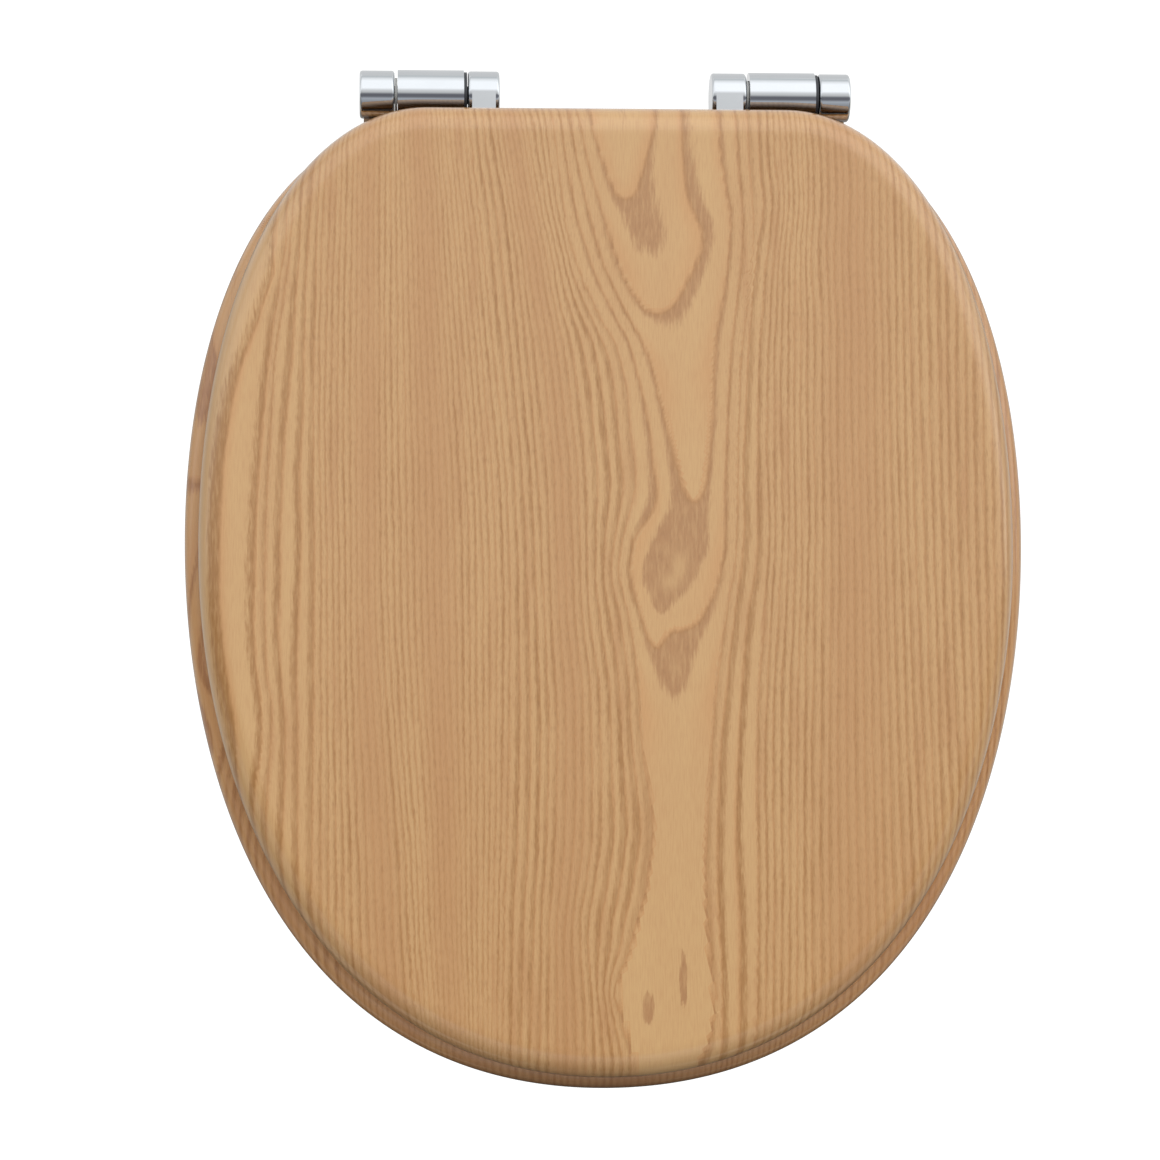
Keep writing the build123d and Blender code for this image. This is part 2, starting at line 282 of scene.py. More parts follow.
def crossing(line: np.ndarray, y: np.ndarray) -> np.ndarray:
    """Place across the sheet where a line that runs from back to front passes each y."""
    return np.interp(-y, -line[:, 1], line[:, 0])


def bell(value: np.ndarray, middle: float, half: float) -> np.ndarray:
    """Bell curve: e to the minus square of the distance from the middle, counted in half widths."""
    return np.exp(-(((value - middle) / half) ** 2))


def turned(x: float, y: float, radius: np.ndarray, height: np.ndarray, turn: np.ndarray) -> np.ndarray:
    """Turn a shape about an upright axis: its radius times cosine and sine of the angle, and its height.

    Args:
        x: Place of the axis across.
        y: Place of the axis along.
        radius: Radius of each row and angle.
        height: Height of each row, or of each row and angle.
        turn: Angles.

    Returns:
        Rows of points.
    """
    plan = (x + radius * np.cos(turn), y + radius * np.sin(turn))
    return np.stack([*plan, height + 0 * turn], axis=-1)


@dataclass(frozen=True)
class Spot:
    """A soft oval spot on the veneer where the dark part of a growth ring is wider, narrower or paler."""

    x: float
    y: float
    half_width: float
    half_length: float
    gain: float

    def weigh(self, x: np.ndarray, y: np.ndarray) -> np.ndarray:
        """Height of the spot at each point: a bell across the grain times a bell along it."""
        return self.gain * bell(x, self.x, self.half_width) * bell(y, self.y, self.half_length)


@dataclass(frozen=True)
class PaintedEdgeShade:
    """Painted shade: darker wood along a board's wall where it faces the back, end 1, or the front, end -1.
    """

    end: int
    gain: float
    middle: float
    half_width: float
    focus: float

    def weigh(self, normals: np.ndarray, reach: np.ndarray) -> np.ndarray:
        """Work out the painted shade: a bell along the section, times a power of how far the rim faces that
        end.

        Args:
            normals: Outward normals around the outline.
            reach: How far the veneer has run past the outline at each station of the section.

        Returns:
            Painted shade of each station and outline point, from 0 to 1.
        """
        along = bell(reach, self.middle, self.half_width)
        facing = np.clip(self.end * normals[:, 1], 0, 1) ** self.focus
        return self.gain * along[:, None] * facing[None]


@dataclass(frozen=True)
class Guide:
    """A grain line beside the heart, from back to front, and the rings that lie before it."""

    points: tuple[Point, ...]
    rings: int
    quiet_middle: float = 0.5
    quiet_half: float = 0.0

    def at(self, y: np.ndarray) -> np.ndarray:
        """Place across the sheet where the line crosses each y."""
        return crossing(smooth_line(self.points), y)

    def quiet(self, share: np.ndarray) -> np.ndarray:
        """Faintness of the lines on the way to this guide: a bell, or none where it has no width."""
        return bell(share, self.quiet_middle, self.quiet_half) if self.quiet_half else np.zeros_like(share)


@dataclass(frozen=True)
class VeneerFigure:
    """Growth rings of a flat-sawn veneer, in millimetres on the sheet, with the grain along y.

    Four nested tongues that point to the front are drawn around the heart of the sheet, inside
    an open channel. Beside the channel the rings are counted from one guide line to the next,
    evenly across the gap at each y, and past the last guide at a steady spacing.
    """

    tongues: tuple[tuple[Point, ...], ...] = (
        ((-9, 30), (-8, 4), (-5, -10), (-2, -20), (0.5, -28), (4, -34), (8, -35.5), (11, -32),
         (13.5, -25), (15.5, -18), (18.5, -8), (19.5, 2), (19, 30)),
        ((-16, 30), (-13, 4), (-10.5, -10), (-5, -32), (0, -50), (5, -67), (11, -78.5), (16, -85),
         (21, -86.5), (26, -84.5), (30, -80), (34, -72.5), (38, -65), (40.5, -57), (40, -49),
         (36.5, -42.5), (33.5, -34), (31.8, -22), (31, -8), (31, 30)),
        ((-21, 30), (-17, 4), (-13, -20), (-4, -58), (2, -74), (10, -90), (15.5, -100), (20, -113),
         (24, -128), (28, -143), (31, -156), (34.5, -167), (37.5, -170), (40.5, -166), (42.5, -155),
         (44.5, -135), (45, -120), (46.5, -97), (50, -80), (53, -60), (53.5, -45), (51.5, -31),
         (49, -15), (48, 4), (47, 30)),
        ((-25, 30), (-21, 4), (-17, -25), (-13, -45), (-6, -68), (2, -86), (9.5, -100),
         (14.5, -118), (18.5, -138), (20.5, -155), (22, -167), (21, -175), (16.5, -182),
         (12.5, -188), (10.5, -196), (10.3, -203), (12, -212), (14.5, -221), (17.5, -230),
         (20.5, -234.5), (24, -230.5), (28, -227.5), (33, -227), (38, -224), (42, -218.5),
         (46, -211), (48.7, -202), (50.3, -190), (50.5, -170), (50.8, -152), (52, -130),
         (53.5, -105), (56, -85), (58.3, -62), (58.6, -45), (57.3, -28), (56, -10), (55.5, 4),
         (55, 30)),
    )
    channel_left: tuple[Point, ...] = (
        (-29, 30), (-25, 4), (-21, -28), (-18, -48), (-12, -70), (-4, -88), (4, -103), (8.5, -120),
        (10.3, -140), (12, -155), (12.5, -165), (11, -173), (8.5, -182), (6, -193), (5, -203),
        (6.5, -212), (9.5, -222), (12, -238), (13.5, -255), (15, -280), (17.5, -297), (19.5, -315),
        (18, -331), (16, -345), (12.5, -357), (9.5, -369), (5, -379), (2.7, -388), (5, -399),
        (8.5, -412), (10, -422), (11, -460),
    )
    channel_right: tuple[Point, ...] = (
        (60.5, 30), (61, 4), (61.3, -8), (62, -25), (63.2, -45), (62.8, -62), (60.5, -85),
        (58.2, -102), (57, -125), (56.2, -145), (56, -165), (55.8, -185), (54.5, -200), (52, -216),
        (49.5, -232), (47.3, -248), (45.5, -264), (44, -283), (42.5, -305), (41.7, -325),
        (42, -345), (43, -365), (44.8, -381), (46.2, -392), (45.5, -400), (42.5, -412), (40, -422),
        (41, -460),
    )
    left_guides: tuple[Guide, ...] = (
        Guide(((-37, 4), (-33, -20), (-29.5, -40), (-25, -60), (-21.5, -80), (-16.5, -100),
               (-13.5, -120), (-11.5, -140), (-9.8, -160), (-9, -190), (-8, -220), (-5.5, -240),
               (-3.5, -260), (-3, -315), (-6, -340), (-9, -360), (-7, -395), (-6, -420)), 4),
        Guide(((-52, 4), (-49, -20), (-45.5, -40), (-41.2, -80), (-37.5, -120), (-34, -160),
               (-32.2, -200), (-31, -240), (-30, -270), (-31.2, -320), (-33.2, -360), (-35, -420)),
               7, 0.45, 0.3),
        Guide(((-62, 4), (-59.8, -20), (-57.2, -40), (-53, -80), (-49, -120), (-45.2, -160),
               (-43.2, -200), (-43.3, -240), (-44.5, -300), (-46.2, -360), (-47, -420)), 3),
        Guide(((-98, 0), (-98, -100), (-97.5, -180), (-97, -220), (-94.8, -260), (-91.5, -300),
               (-89.2, -330), (-87.8, -360), (-84.5, -400)), 18, 0.62, 0.18),
        Guide(((-127, -20), (-129, -80), (-130, -150), (-129.2, -200), (-129.5, -260),
               (-130.3, -340)), 12, 0.3, 0.2),
        Guide(((-130.5, -30), (-133.5, -80), (-134, -120), (-135.5, -160), (-135, -190),
               (-136.5, -240), (-136.5, -270), (-136, -345)), 1),
        Guide(((-135, -35), (-137, -70), (-139, -100), (-142, -140), (-143.5, -165), (-144.5, -200),
               (-145, -230), (-143.5, -255), (-142, -270), (-142.5, -300), (-144, -330)), 1),
        Guide(((-139, -45), (-143, -80), (-147, -110), (-149, -150), (-150.5, -180), (-151, -215),
               (-150.5, -245), (-148.5, -262), (-148.8, -280), (-150.5, -300), (-151.5, -320)), 1),
        Guide(((-142, -55), (-146, -80), (-149.5, -110), (-152, -140), (-154, -170), (-155, -200),
               (-155.3, -235), (-152.5, -262), (-152.5, -280), (-155.5, -300), (-157, -310)), 1),
        Guide(((-147, -70), (-155, -95), (-162, -115), (-167, -140), (-169.5, -165), (-170.5, -200),
               (-170, -225), (-166.5, -255), (-163.5, -275), (-164, -290)), 1),
        Guide(((-186, 0), (-186, -420)), 1),
        Guide(((-300, 0), (-300, -420)), 34),
    )
    right_guides: tuple[Guide, ...] = (
        Guide(((66, 4), (66.5, -20), (68, -40), (64.8, -60), (62.5, -80), (60, -120), (58.5, -160),
               (59, -180), (57.2, -200), (52, -240), (48, -280), (46.5, -310), (46.3, -345),
               (47.8, -380), (48.5, -420)), 1),
        Guide(((70, 4), (70.5, -20), (72.2, -40), (69.8, -60), (68, -80), (65.8, -120), (65, -160),
               (65.2, -180), (64, -200), (60.5, -220), (56.8, -260), (54.5, -300), (54.5, -330),
               (56, -360), (56, -420)), 1),
        Guide(((73, 4), (73.8, -20), (74.8, -40), (72, -70), (69.8, -110), (69.5, -160), (70, -185),
               (67.8, -220), (65, -260), (64.5, -300), (65, -350), (63.5, -420)), 1),
        Guide(((89, 0), (90.5, -35), (89.2, -60), (90.5, -95), (90, -130), (90.5, -190),
               (89.2, -250), (88.3, -310), (88, -420)), 7),
        Guide(((133, -40), (134.5, -150), (136.5, -220), (139, -290), (142, -360)), 13, 0.42, 0.3),
        Guide(((190, 0), (190, -420)), 14),
    )
    spots: tuple[Spot, ...] = (
        Spot(15, -54, 16, 16, 0.33),
        Spot(21, -5, 5, 20, -0.18),
        Spot(24, -98, 14, 16, -0.05),
        Spot(42, -48, 7, 14, 0.10),
        Spot(34, 0, 5, 18, -0.14),
        Spot(28, -196, 14, 24, 0.72),
        Spot(18, -205, 8, 10, 0.35),
        Spot(40, -188, 8, 12, 0.25),
        Spot(28, -245, 10, 17, 0.42),
        Spot(15, -325, 9, 45, 0.22),
        Spot(16.5, -395, 3.6, 10, 0.95),
        Spot(32, -383, 2.3, 20, 0.95),
        Spot(22, -217, 4, 6, 0.35),
        Spot(-175, -190, 10, 100, 0.26),
    )
    islands: tuple[Spot, ...] = (
        Spot(31, -199, 3.6, 6.5, 0.75),
        Spot(26.5, -207, 4.5, 4, 0.65),
        Spot(29, -242, 3, 5, 0.25),
    )
    plain_reach: float = 0.38
    close_reach: float = 0.60
    widest_dark: float = 3.8
    last_gap: float = 4.5
    heart_gap: float = 22.0
    least_gap: float = 0.5
    tiny: float = 1e-9

    @staticmethod
    def distance(points: np.ndarray, line: np.ndarray) -> np.ndarray:
        """Least distance from each point to the segments of a line.

        Args:
            points: Points.
            line: Corners of the line.

        Returns:
            One distance for each point.
        """
        start, span = line[:-1], np.diff(line, axis=0)
        offset = points[:, None] - start[None]
        share = np.clip((offset * span).sum(-1) / (span * span).sum(-1), 0, 1)
        return np.sqrt(((offset - share[..., None] * span) ** 2).sum(-1).min(1))

    @staticmethod
    def enclosed(points: np.ndarray, line: np.ndarray) -> np.ndarray:
        """Tell which points lie inside a closed line, by counting the crossings to their right.

        Args:
            points: Points.
            line: Corners of the line, whose end joins its start.

        Returns:
            One truth value for each point.
        """
        a, b = line, np.roll(line, -1, axis=0)
        x, y = points[:, :1], points[:, 1:]
        straddles = (a[:, 1] > y) != (b[:, 1] > y)
        rise = np.where(a[:, 1] == b[:, 1], 1.0, b[:, 1] - a[:, 1])
        return (straddles & (x < a[:, 0] + (b[:, 0] - a[:, 0]) * (y - a[:, 1]) / rise)).sum(1) % 2 == 1

    def heart(self, points: np.ndarray, left: np.ndarray, right: np.ndarray) -> np.ndarray:
        """Number the rings between the nested lines, by the share of the way from one line to the next.

        Args:
            points: Points inside the channel.
            left: Left side of the channel.
            right: Right side of the channel.

        Returns:
            Ring number, and rings in a millimetre, at each point.
        """
        lines = [smooth_line(tongue) for tongue in self.tongues]
        near = [self.distance(points, line) for line in lines]
        near.append(np.minimum(self.distance(points, left), self.distance(points, right)))
        within = [self.enclosed(points, line) for line in lines]
        ring = -near[0] / self.heart_gap
        pace = np.full(len(points), 1 / self.heart_gap)
        for number in range(len(lines)):
            between = near[number] + near[number + 1] + self.tiny
            ring = np.where(within[number], ring, number + near[number] / between)
            pace = np.where(within[number], pace, 1 / between)
        return np.column_stack([ring, pace])

    def flank(
        self, out: np.ndarray, edge: np.ndarray, y: np.ndarray, guides: tuple[Guide, ...]
    ) -> np.ndarray:
        """Number the rings beside the channel, from guide to guide.

        Args:
            out: Distance from the middle of the sheet towards this side.
            edge: Place of the channel's side, measured the same way.
            y: Place along the grain.
            guides: Guides on this side, from the channel outwards.

        Returns:
            Ring number, rings in a millimetre and faintness of the lines, at each point.
        """
        ring = np.full(len(out), float(len(self.tongues)))
        pace, quiet = np.zeros(len(out)), np.zeros(len(out))
        start, side = edge, np.sign(guides[-1].points[0][0])
        for guide in guides:
            end = side * guide.at(y)
            gap = np.maximum(end - start, self.least_gap)
            share = np.clip((out - start) / gap, 0, 1)
            ring += guide.rings * share
            here = (out >= start) & (out < end)
            pace = np.where(here, guide.rings / gap, pace)
            quiet = np.where(here, guide.quiet(share), quiet)
            start = end
        past = np.maximum(out - start, 0)
        pace = np.where(out >= start, 1 / self.last_gap, pace)
        return np.column_stack([ring + past / self.last_gap, pace, quiet])

    def read(self, sheet: np.ndarray) -> dict[str, np.ndarray]:
        """Give the growth-ring values that the veneer's material draws from.

        Args:
            sheet: Points on the sheet, in millimetres.

        Returns:
            Ring number, rings in a millimetre, dark share of a ring, faintness of its line, and glow.
        """
        x, y = sheet[:, 0], sheet[:, 1]
        left, right = smooth_line(self.channel_left), smooth_line(self.channel_right)
        left_edge, right_edge = crossing(left, y), crossing(right, y)
        to_left = self.flank(-x, -left_edge, y, self.left_guides)
        to_right = self.flank(x, right_edge, y, self.right_guides)
        values = np.where((x < left_edge)[:, None], to_left, to_right)
        middle = np.flatnonzero((x >= left_edge) & (x <= right_edge))
        if len(middle):
            values[middle, :2] = self.heart(sheet[middle], left, right)
            values[middle, 2] = 0
        ring, pace, quiet = values.T
        outside = np.minimum(self.close_reach, self.widest_dark * pace)
        plain = np.where(ring < len(self.tongues), self.plain_reach, outside)
        reach = plain + sum(spot.weigh(x, y) for spot in self.spots)
        glow = sum(spot.weigh(x, y) for spot in self.islands)
        return {"ring": ring, "pace": pace, "reach": reach, "quiet": quiet, "glow": glow}


@dataclass(frozen=True)
class RingFigure(VeneerFigure):
    """The same sheet with plain lines past its left side, from which the ring's outer rim is cut."""

    left_guides: tuple[Guide, ...] = VeneerFigure.left_guides[:5] + (
        Guide(((-200, 0), (-198, -200), (-201, -420)), 22, 0.6, 0.2),
        Guide(((-262, 0), (-265, -200), (-261, -420)), 26),
        Guide(((-360, 0), (-360, -420)), 28, 0.4, 0.2),
    )


class NodeSketch:
    """The nodes of one shader, laid out through short calls for what repeats."""

    def __init__(self, tree: bpy.types.NodeTree) -> None:
        """Draw in a tree that is there already."""
        self.tree = tree

    def node(self, kind: str, **settings: object) -> bpy.types.Node:
        """Add a node.

        Args:
            kind: Type of the node.
            settings: Properties to set on it.

        Returns:
            The node.
        """
        made = self.tree.nodes.new(kind)
        for name, value in settings.items():
            setattr(made, name, value)
        return made

    def feed(self, target: Socket, source: object) -> None:
        """Link a socket to a source, or set it to a constant.

        Args:
            target: Socket that is fed.
            source: Socket or constant that it takes.
        """
        if isinstance(source, bpy.types.NodeSocket):
            self.tree.links.new(source, target)
        else:
            target.default_value = source

    def fill(self, step: bpy.types.Node, *terms: object) -> Socket:
        """Feed a node's sockets in their order.

        Args:
            step: The node.
            terms: Sockets or constants that it takes.

        Returns:
            The node's first result.
        """
        for socket, term in zip(step.inputs, terms):
            self.feed(socket, term)
        return step.outputs[0]

    def math(self, operation: str, *terms: object, clamp: bool = False) -> Socket:
        """Work out one arithmetic step, kept between 0 and 1 where it is clamped."""
        return self.fill(self.node("ShaderNodeMath", operation=operation, use_clamp=clamp), *terms)

    def linear(self, value: object, gain: object, offset: object) -> Socket:
        """A value times a gain, plus an offset."""
        return self.math("MULTIPLY_ADD", value, gain, offset)

    def swing(self, noise: Socket, reach: float) -> Socket:
        """Noise from 0 to 1, stretched to run from minus a reach to plus it."""
        return self.linear(noise, 2 * reach, -reach)

    def product(self, *terms: object) -> Socket:
        """All terms multiplied, one after the other."""
        return reduce(lambda first, second: self.math("MULTIPLY", first, second), terms)

    def spread(
        self, value: object, low: object, high: object, start: object = 0.0, end: object = 1.0
    ) -> Socket:
        """Carry a value smoothly from one range to another.

        Args:
            value: What is carried.
            low: Value that gives the start.
            high: Value that gives the end.
            start: Result at the low value.
            end: Result at the high value.

        Returns:
            The carried value, held at both ends.
        """
        step = self.node("ShaderNodeMapRange", interpolation_type="SMOOTHSTEP")
        return self.fill(step, value, low, high, start, end)

    def follow(self, value: object, ramp: Ramp) -> Socket:
        """Carry a value along a ramp."""
        return self.spread(value, ramp.low, ramp.high, ramp.start, ramp.end)

    def mix(self, share: object, first: object, second: object) -> Socket:
        """Mix two colours.

        Args:
            share: Weight of the second colour.
            first: First colour.
            second: Second colour.

        Returns:
            The mixed colour.
        """
        step = self.node("ShaderNodeMix", data_type="RGBA", clamp_factor=True)
        for socket, term in zip((step.inputs[0], step.inputs[6], step.inputs[7]), (share, first, second)):
            self.feed(socket, term)
        return step.outputs[2]

    def blend(self, share: object, first: Socket, second: Socket) -> Socket:
        """Mix two shaders by the weight of the second."""
        return self.fill(self.node("ShaderNodeMixShader"), share, first, second)

    def place(self) -> Socket:
        """The object's own coordinates, in metres."""
        return self.node("ShaderNodeTexCoord").outputs["Object"]

    def layer(self, name: str, output: str = "Fac") -> Socket:
        """A value that the mesh carries under a name."""
        return self.node("ShaderNodeAttribute", attribute_name=name).outputs[output]

    def noise(self, where: Socket, size: Triple, detail: float = 2.0) -> Socket:
        """Smooth noise with grains of a given size.

        Args:
            where: Coordinates, in metres.
            size: Grain size along x, y and z, in millimetres.
            detail: Number of finer layers.

        Returns:
            Noise from 0 to 1.
        """
        fitted = self.node("ShaderNodeMapping")
        self.feed(fitted.inputs["Vector"], where)
        fitted.inputs["Scale"].default_value = tuple(1 / (s * MM) for s in size)
        grain = self.node("ShaderNodeTexNoise")
        grain.inputs["Scale"].default_value = 1.0
        grain.inputs["Detail"].default_value = detail
        self.feed(grain.inputs["Vector"], fitted.outputs["Vector"])
        return grain.outputs[0]


class FinishSketch(NodeSketch):
    """The nodes of one material, around its surface shader."""

    def __init__(self, name: str) -> None:
        """Start a material with one surface shader.

        Args:
            name: Name of the material.
        """
        self.material = bpy.data.materials.new(name)
        self.material.use_nodes = True
        super().__init__(self.material.node_tree)
        self.surface = self.tree.nodes["Principled BSDF"]

    def bump(self, height: Socket, depth: float, strength: float) -> None:
        """Press a height pattern into the surface.

        Args:
            height: Height from 0 to 1.
            depth: Depth of a full step, in millimetres.
            strength: Share of the pattern that shows.
        """
        press = self.node("ShaderNodeBump")
        press.inputs["Strength"].default_value = strength
        press.inputs["Distance"].default_value = depth * MM
        self.feed(press.inputs["Height"], height)
        self.feed(self.surface.inputs["Normal"], press.outputs["Normal"])

    def set(self, **sockets: object) -> bpy.types.Material:
        """Feed the surface shader.

        Args:
            sockets: What its sockets take, under their names in lower case with underscores.

        Returns:
            The material.
        """
        for name, source in sockets.items():
            self.feed(self.surface.inputs[name.replace("_", " ").title()], source)
        return self.material


@dataclass(frozen=True)
class VeneerFinish:
    """Satin lacquered veneer, drawn from the growth-ring values that the board's mesh carries.

    Grains and other lengths are in millimetres. A ramp on the pace follows the rings in a millimetre.
    """

    name: str = "satin_veneer"
    pale: Colour = shade(207, 169, 117)
    honey: Colour = shade(204, 156, 104)
    tan: Colour = shade(184, 135, 89)
    patch: Colour = shade(170, 125, 82)
    line: Colour = shade(159, 113, 62)
    pore: Colour = shade(138, 94, 55)
    # Colour of the painted shade on the walls that face the front or the back, standing in for the shade
    # there.
    painted_shade: Colour = shade(74, 45, 26)
    sways: tuple[tuple[float, Triple], ...] = (
        (0.9, (13, 120, 1)),
        (0.75, (3.4, 24, 1)),
        (0.6, (1.2, 3.4, 1)),
    )
    pace_is_close: Ramp = Ramp(0.08, 0.24)
    pace_is_roomy: Ramp = Ramp(0.10, 0.24, 0.95, 0.0)
    pace_has_honey: Ramp = Ramp(0.012, 0.03)
    wide_rise: float = 1.8
    close_rise: float = 1.2
    least_rise: float = 0.02
    edge_grain: Triple = (0.9, 7, 1)
    jag: float = 0.36
    blur: float = 0.55
    least_blur: float = 0.08
    luck: float = 0.40
    least_luck: float = 0.55
    fade_grain: Triple = (4.5, 38, 1)
    fading: Ramp = Ramp(0.30, 0.58, 0.45, 1.0)
    quiet_loss: float = 0.4
    mottle_grain: Triple = (1.3, 9, 1)
    mottling: Ramp = Ramp(0.40, 0.72, 1.0, 0.55)
    honey_share: Ramp = Ramp(0.62, 1.0)
    broad_grain: Triple = (18, 120, 1)
    broad_tan: float = 0.5
    close_tan: float = 0.15
    rosy_grain: Triple = (7, 60, 1)
    rosiness: Ramp = Ramp(0.5, 0.75)
    rosy_tan: float = 0.30
    inner_line: float = 4.0
    inner_share: float = 0.75
    last_patch: float = 4.95
    dash_grain: Triple = (0.6, 3.6, 1)
    dashing: Ramp = Ramp(0.46, 0.72)
    dark_pores: float = 0.16
    close_pores: float = 0.12
    least_pores: float = 0.03
    fibre_grain: Triple = (0.6, 8, 1)
    streaking: Ramp = Ramp(0.35, 0.75, 0.0, 0.32)
    wood_gloss: float = 0.2
    roughness: float = 0.25
    fibre_roughness: float = 0.1
    dark_roughness: float = 0.08
    fibre_relief: float = 0.3
    relief_depth: float = 0.05
    relief_strength: float = 0.2
    lacquer_roughness: float = 0.11
    lacquer_index: float = 1.57

    def sway(self, s: FinishSketch, sheet: Socket) -> Socket:
        """Wander of the grain lines in millimetres: slow, middling and fine noise, long along the grain."""
        slow, middling, fine = (s.swing(s.noise(sheet, grain), reach) for reach, grain in self.sways)
        return s.math("ADD", s.math("ADD", slow, middling), fine)

    def force(self, s: FinishSketch, sheet: Socket, number: Socket) -> Socket:
        """How strongly a ring's line shows: its own luck, a fading along the grain, and faint stretches.

        Args:
            s: Material being drawn.
            sheet: Place on the sheet.
            number: Ring number.

        Returns:
            Strength from 0 to 1, almost full where the rings are wide.
        """
        dice = s.node("ShaderNodeTexWhiteNoise", noise_dimensions="1D")
        s.feed(dice.inputs["W"], s.math("FLOOR", number))
        luck = s.linear(dice.outputs["Value"], self.luck, self.least_luck)
        fading = s.follow(s.noise(sheet, self.fade_grain), self.fading)
        calm = s.linear(s.layer("quiet"), -self.quiet_loss, 1.0)
        bold = s.follow(s.layer("pace"), self.pace_is_roomy)
        return s.math("MAXIMUM", s.product(luck, fading, calm), bold)

    def dark(self, s: FinishSketch, sheet: Socket, number: Socket, rise: Socket) -> Socket:
        """How dark the wood is within its ring, from a soft inner edge to a ragged one set by its reach.

        Args:
            s: Material being drawn.
            sheet: Place on the sheet.
            number: Ring number.
            rise: Share of the ring that the inner edge takes.

        Returns:
            Darkness from 0 to 1.
        """
        share, pace = s.math("FRACT", number), s.layer("pace")
        ragged = s.swing(s.noise(sheet, self.edge_grain, 3), self.jag / 2)
        outer = s.math("ADD", s.layer("reach"), ragged)
        soft = s.linear(pace, self.blur, self.least_blur)
        body = s.spread(share, s.math("SUBTRACT", outer, soft), s.math("ADD", outer, soft), 1.0, 0.0)
        mottle = s.follow(s.noise(sheet, self.mottle_grain, 3), self.mottling)
        island = s.math("MULTIPLY_ADD", s.layer("glow"), -1.0, 1.0, clamp=True)
        return s.product(body, s.spread(share, 0.0, rise), self.force(s, sheet, number), mottle, island)

    def ground(self, s: FinishSketch, sheet: Socket, number: Socket, rise: Socket, close: Socket) -> Socket:
        """Colour between the lines: warmer late in a ring, browner by broad noise and where rings are close.

        Args:
            s: Material being drawn.
            sheet: Place on the sheet.
            number: Ring number.
            rise: Share of the ring that the inner edge takes.
            close: How close the rings are, from 0 to 1.

        Returns:
            The colour.
        """
        broad = s.noise(sheet, self.broad_grain, 3)
        rosy = s.math("MAXIMUM", s.layer("quiet"), s.follow(s.noise(sheet, self.rosy_grain), self.rosiness))
        later = s.math("FRACT", s.math("SUBTRACT", number, rise))
        orange = s.product(s.follow(later, self.honey_share), s.follow(s.layer("pace"), self.pace_has_honey))
        dusk = s.linear(broad, self.broad_tan, s.product(close, self.close_tan))
        toning = s.linear(rosy, s.product(close, self.rosy_tan), dusk)
        return s.mix(toning, s.mix(orange, self.pale, self.honey), self.tan)

    def material(self) -> bpy.types.Material:
        """Draw the rings, pores and tone of the veneer, and darken it by the painted shade that the mesh
        carries.

        The ring number wanders with the sway. Its whole part picks a ring and its fraction a place in the
        ring. Short dashes of noise along the grain make pores, thickest in the dark part of a ring.

        Returns:
            The material.
        """
        s = FinishSketch(self.name)
        sheet, pace = s.layer("sheet", "Vector"), s.layer("pace")
        number = s.linear(self.sway(s, sheet), pace, s.layer("ring"))
        close = s.follow(pace, self.pace_is_close)
        rise_width = s.linear(close, self.close_rise - self.wide_rise, self.wide_rise)
        rise = s.linear(pace, rise_width, self.least_rise)
        depth = self.dark(s, sheet, number, rise)
        line_end = s.product(pace, self.inner_line)
        inner = s.spread(s.math("FRACT", number), 0.0, line_end, self.inner_share, 0.0)
        outside = s.math("GREATER_THAN", number, self.last_patch)
        lined = s.math("MAXIMUM", s.math("MAXIMUM", close, inner), outside)
        between = self.ground(s, sheet, number, rise, close)
        grained = s.mix(depth, between, s.mix(lined, self.patch, self.line))
        fibre = s.noise(sheet, self.fibre_grain, 2)
        streaked = s.mix(s.follow(fibre, self.streaking), grained, self.tan)
        pores = s.linear(depth, self.dark_pores, s.linear(close, self.close_pores, self.least_pores))
        fleck = s.product(s.follow(s.noise(sheet, self.dash_grain, 1), self.dashing), pores)
        # Mix in the painted shade that the mesh carries: darker wood on the walls that face the front or the
        # back.
        colour = s.mix(s.layer("painted_shade"), s.mix(fleck, streaked, self.pore), self.painted_shade)
        gloss = s.linear(depth, self.dark_roughness, s.linear(fibre, self.fibre_roughness, self.roughness))
        relief = s.math("SUBTRACT", s.product(fibre, self.fibre_relief), s.math("ADD", depth, fleck))
        s.bump(relief, self.relief_depth, self.relief_strength)
        s.surface.inputs["Coat IOR"].default_value = self.lacquer_index
        s.surface.inputs["Specular IOR Level"].default_value = self.wood_gloss
        s.set(coat_weight=1.0, coat_roughness=self.lacquer_roughness)
        return s.set(base_color=colour, roughness=gloss)


@dataclass(frozen=True)
class RuddyVeneerFinish(VeneerFinish):
    """The same veneer in the slightly redder tones of the ring."""

    name: str = "ruddy_veneer"
    pale: Colour = shade(206, 160, 106)
    honey: Colour = shade(201, 150, 97)
    tan: Colour = shade(186, 133, 87)
    patch: Colour = shade(166, 115, 74)
    line: Colour = shade(159, 108, 60)


@dataclass(frozen=True)
class ChromeFinish:
    """Polished chrome plate with the faint ripple and wiping haze of a plated casting."""

    name: str = "polished_chrome"
    bright: Colour = shade(210, 213, 216)
    cool: Colour = shade(202, 206, 209)
    haze_grain: Triple = (14, 6, 9)
    ripple_grain: Triple = (5, 5, 5)
    roughness: float = 0.03
    haze_roughness: float = 0.06
    ripple_depth: float = 0.02
    ripple_strength: float = 0.15

    def material(self) -> bpy.types.Material:
        """Mix two metal tones by soft noise, haze the gloss and ripple the surface.

        Returns:
            The material.
        """
        s = FinishSketch(self.name)
        haze = s.noise(s.place(), self.haze_grain, 4)
        s.bump(s.noise(s.place(), self.ripple_grain, 1), self.ripple_depth, self.ripple_strength)
        colour = s.mix(haze, self.bright, self.cool)
        gloss = s.linear(haze, self.haze_roughness, self.roughness)
        return s.set(base_color=colour, roughness=gloss, metallic=1.0)


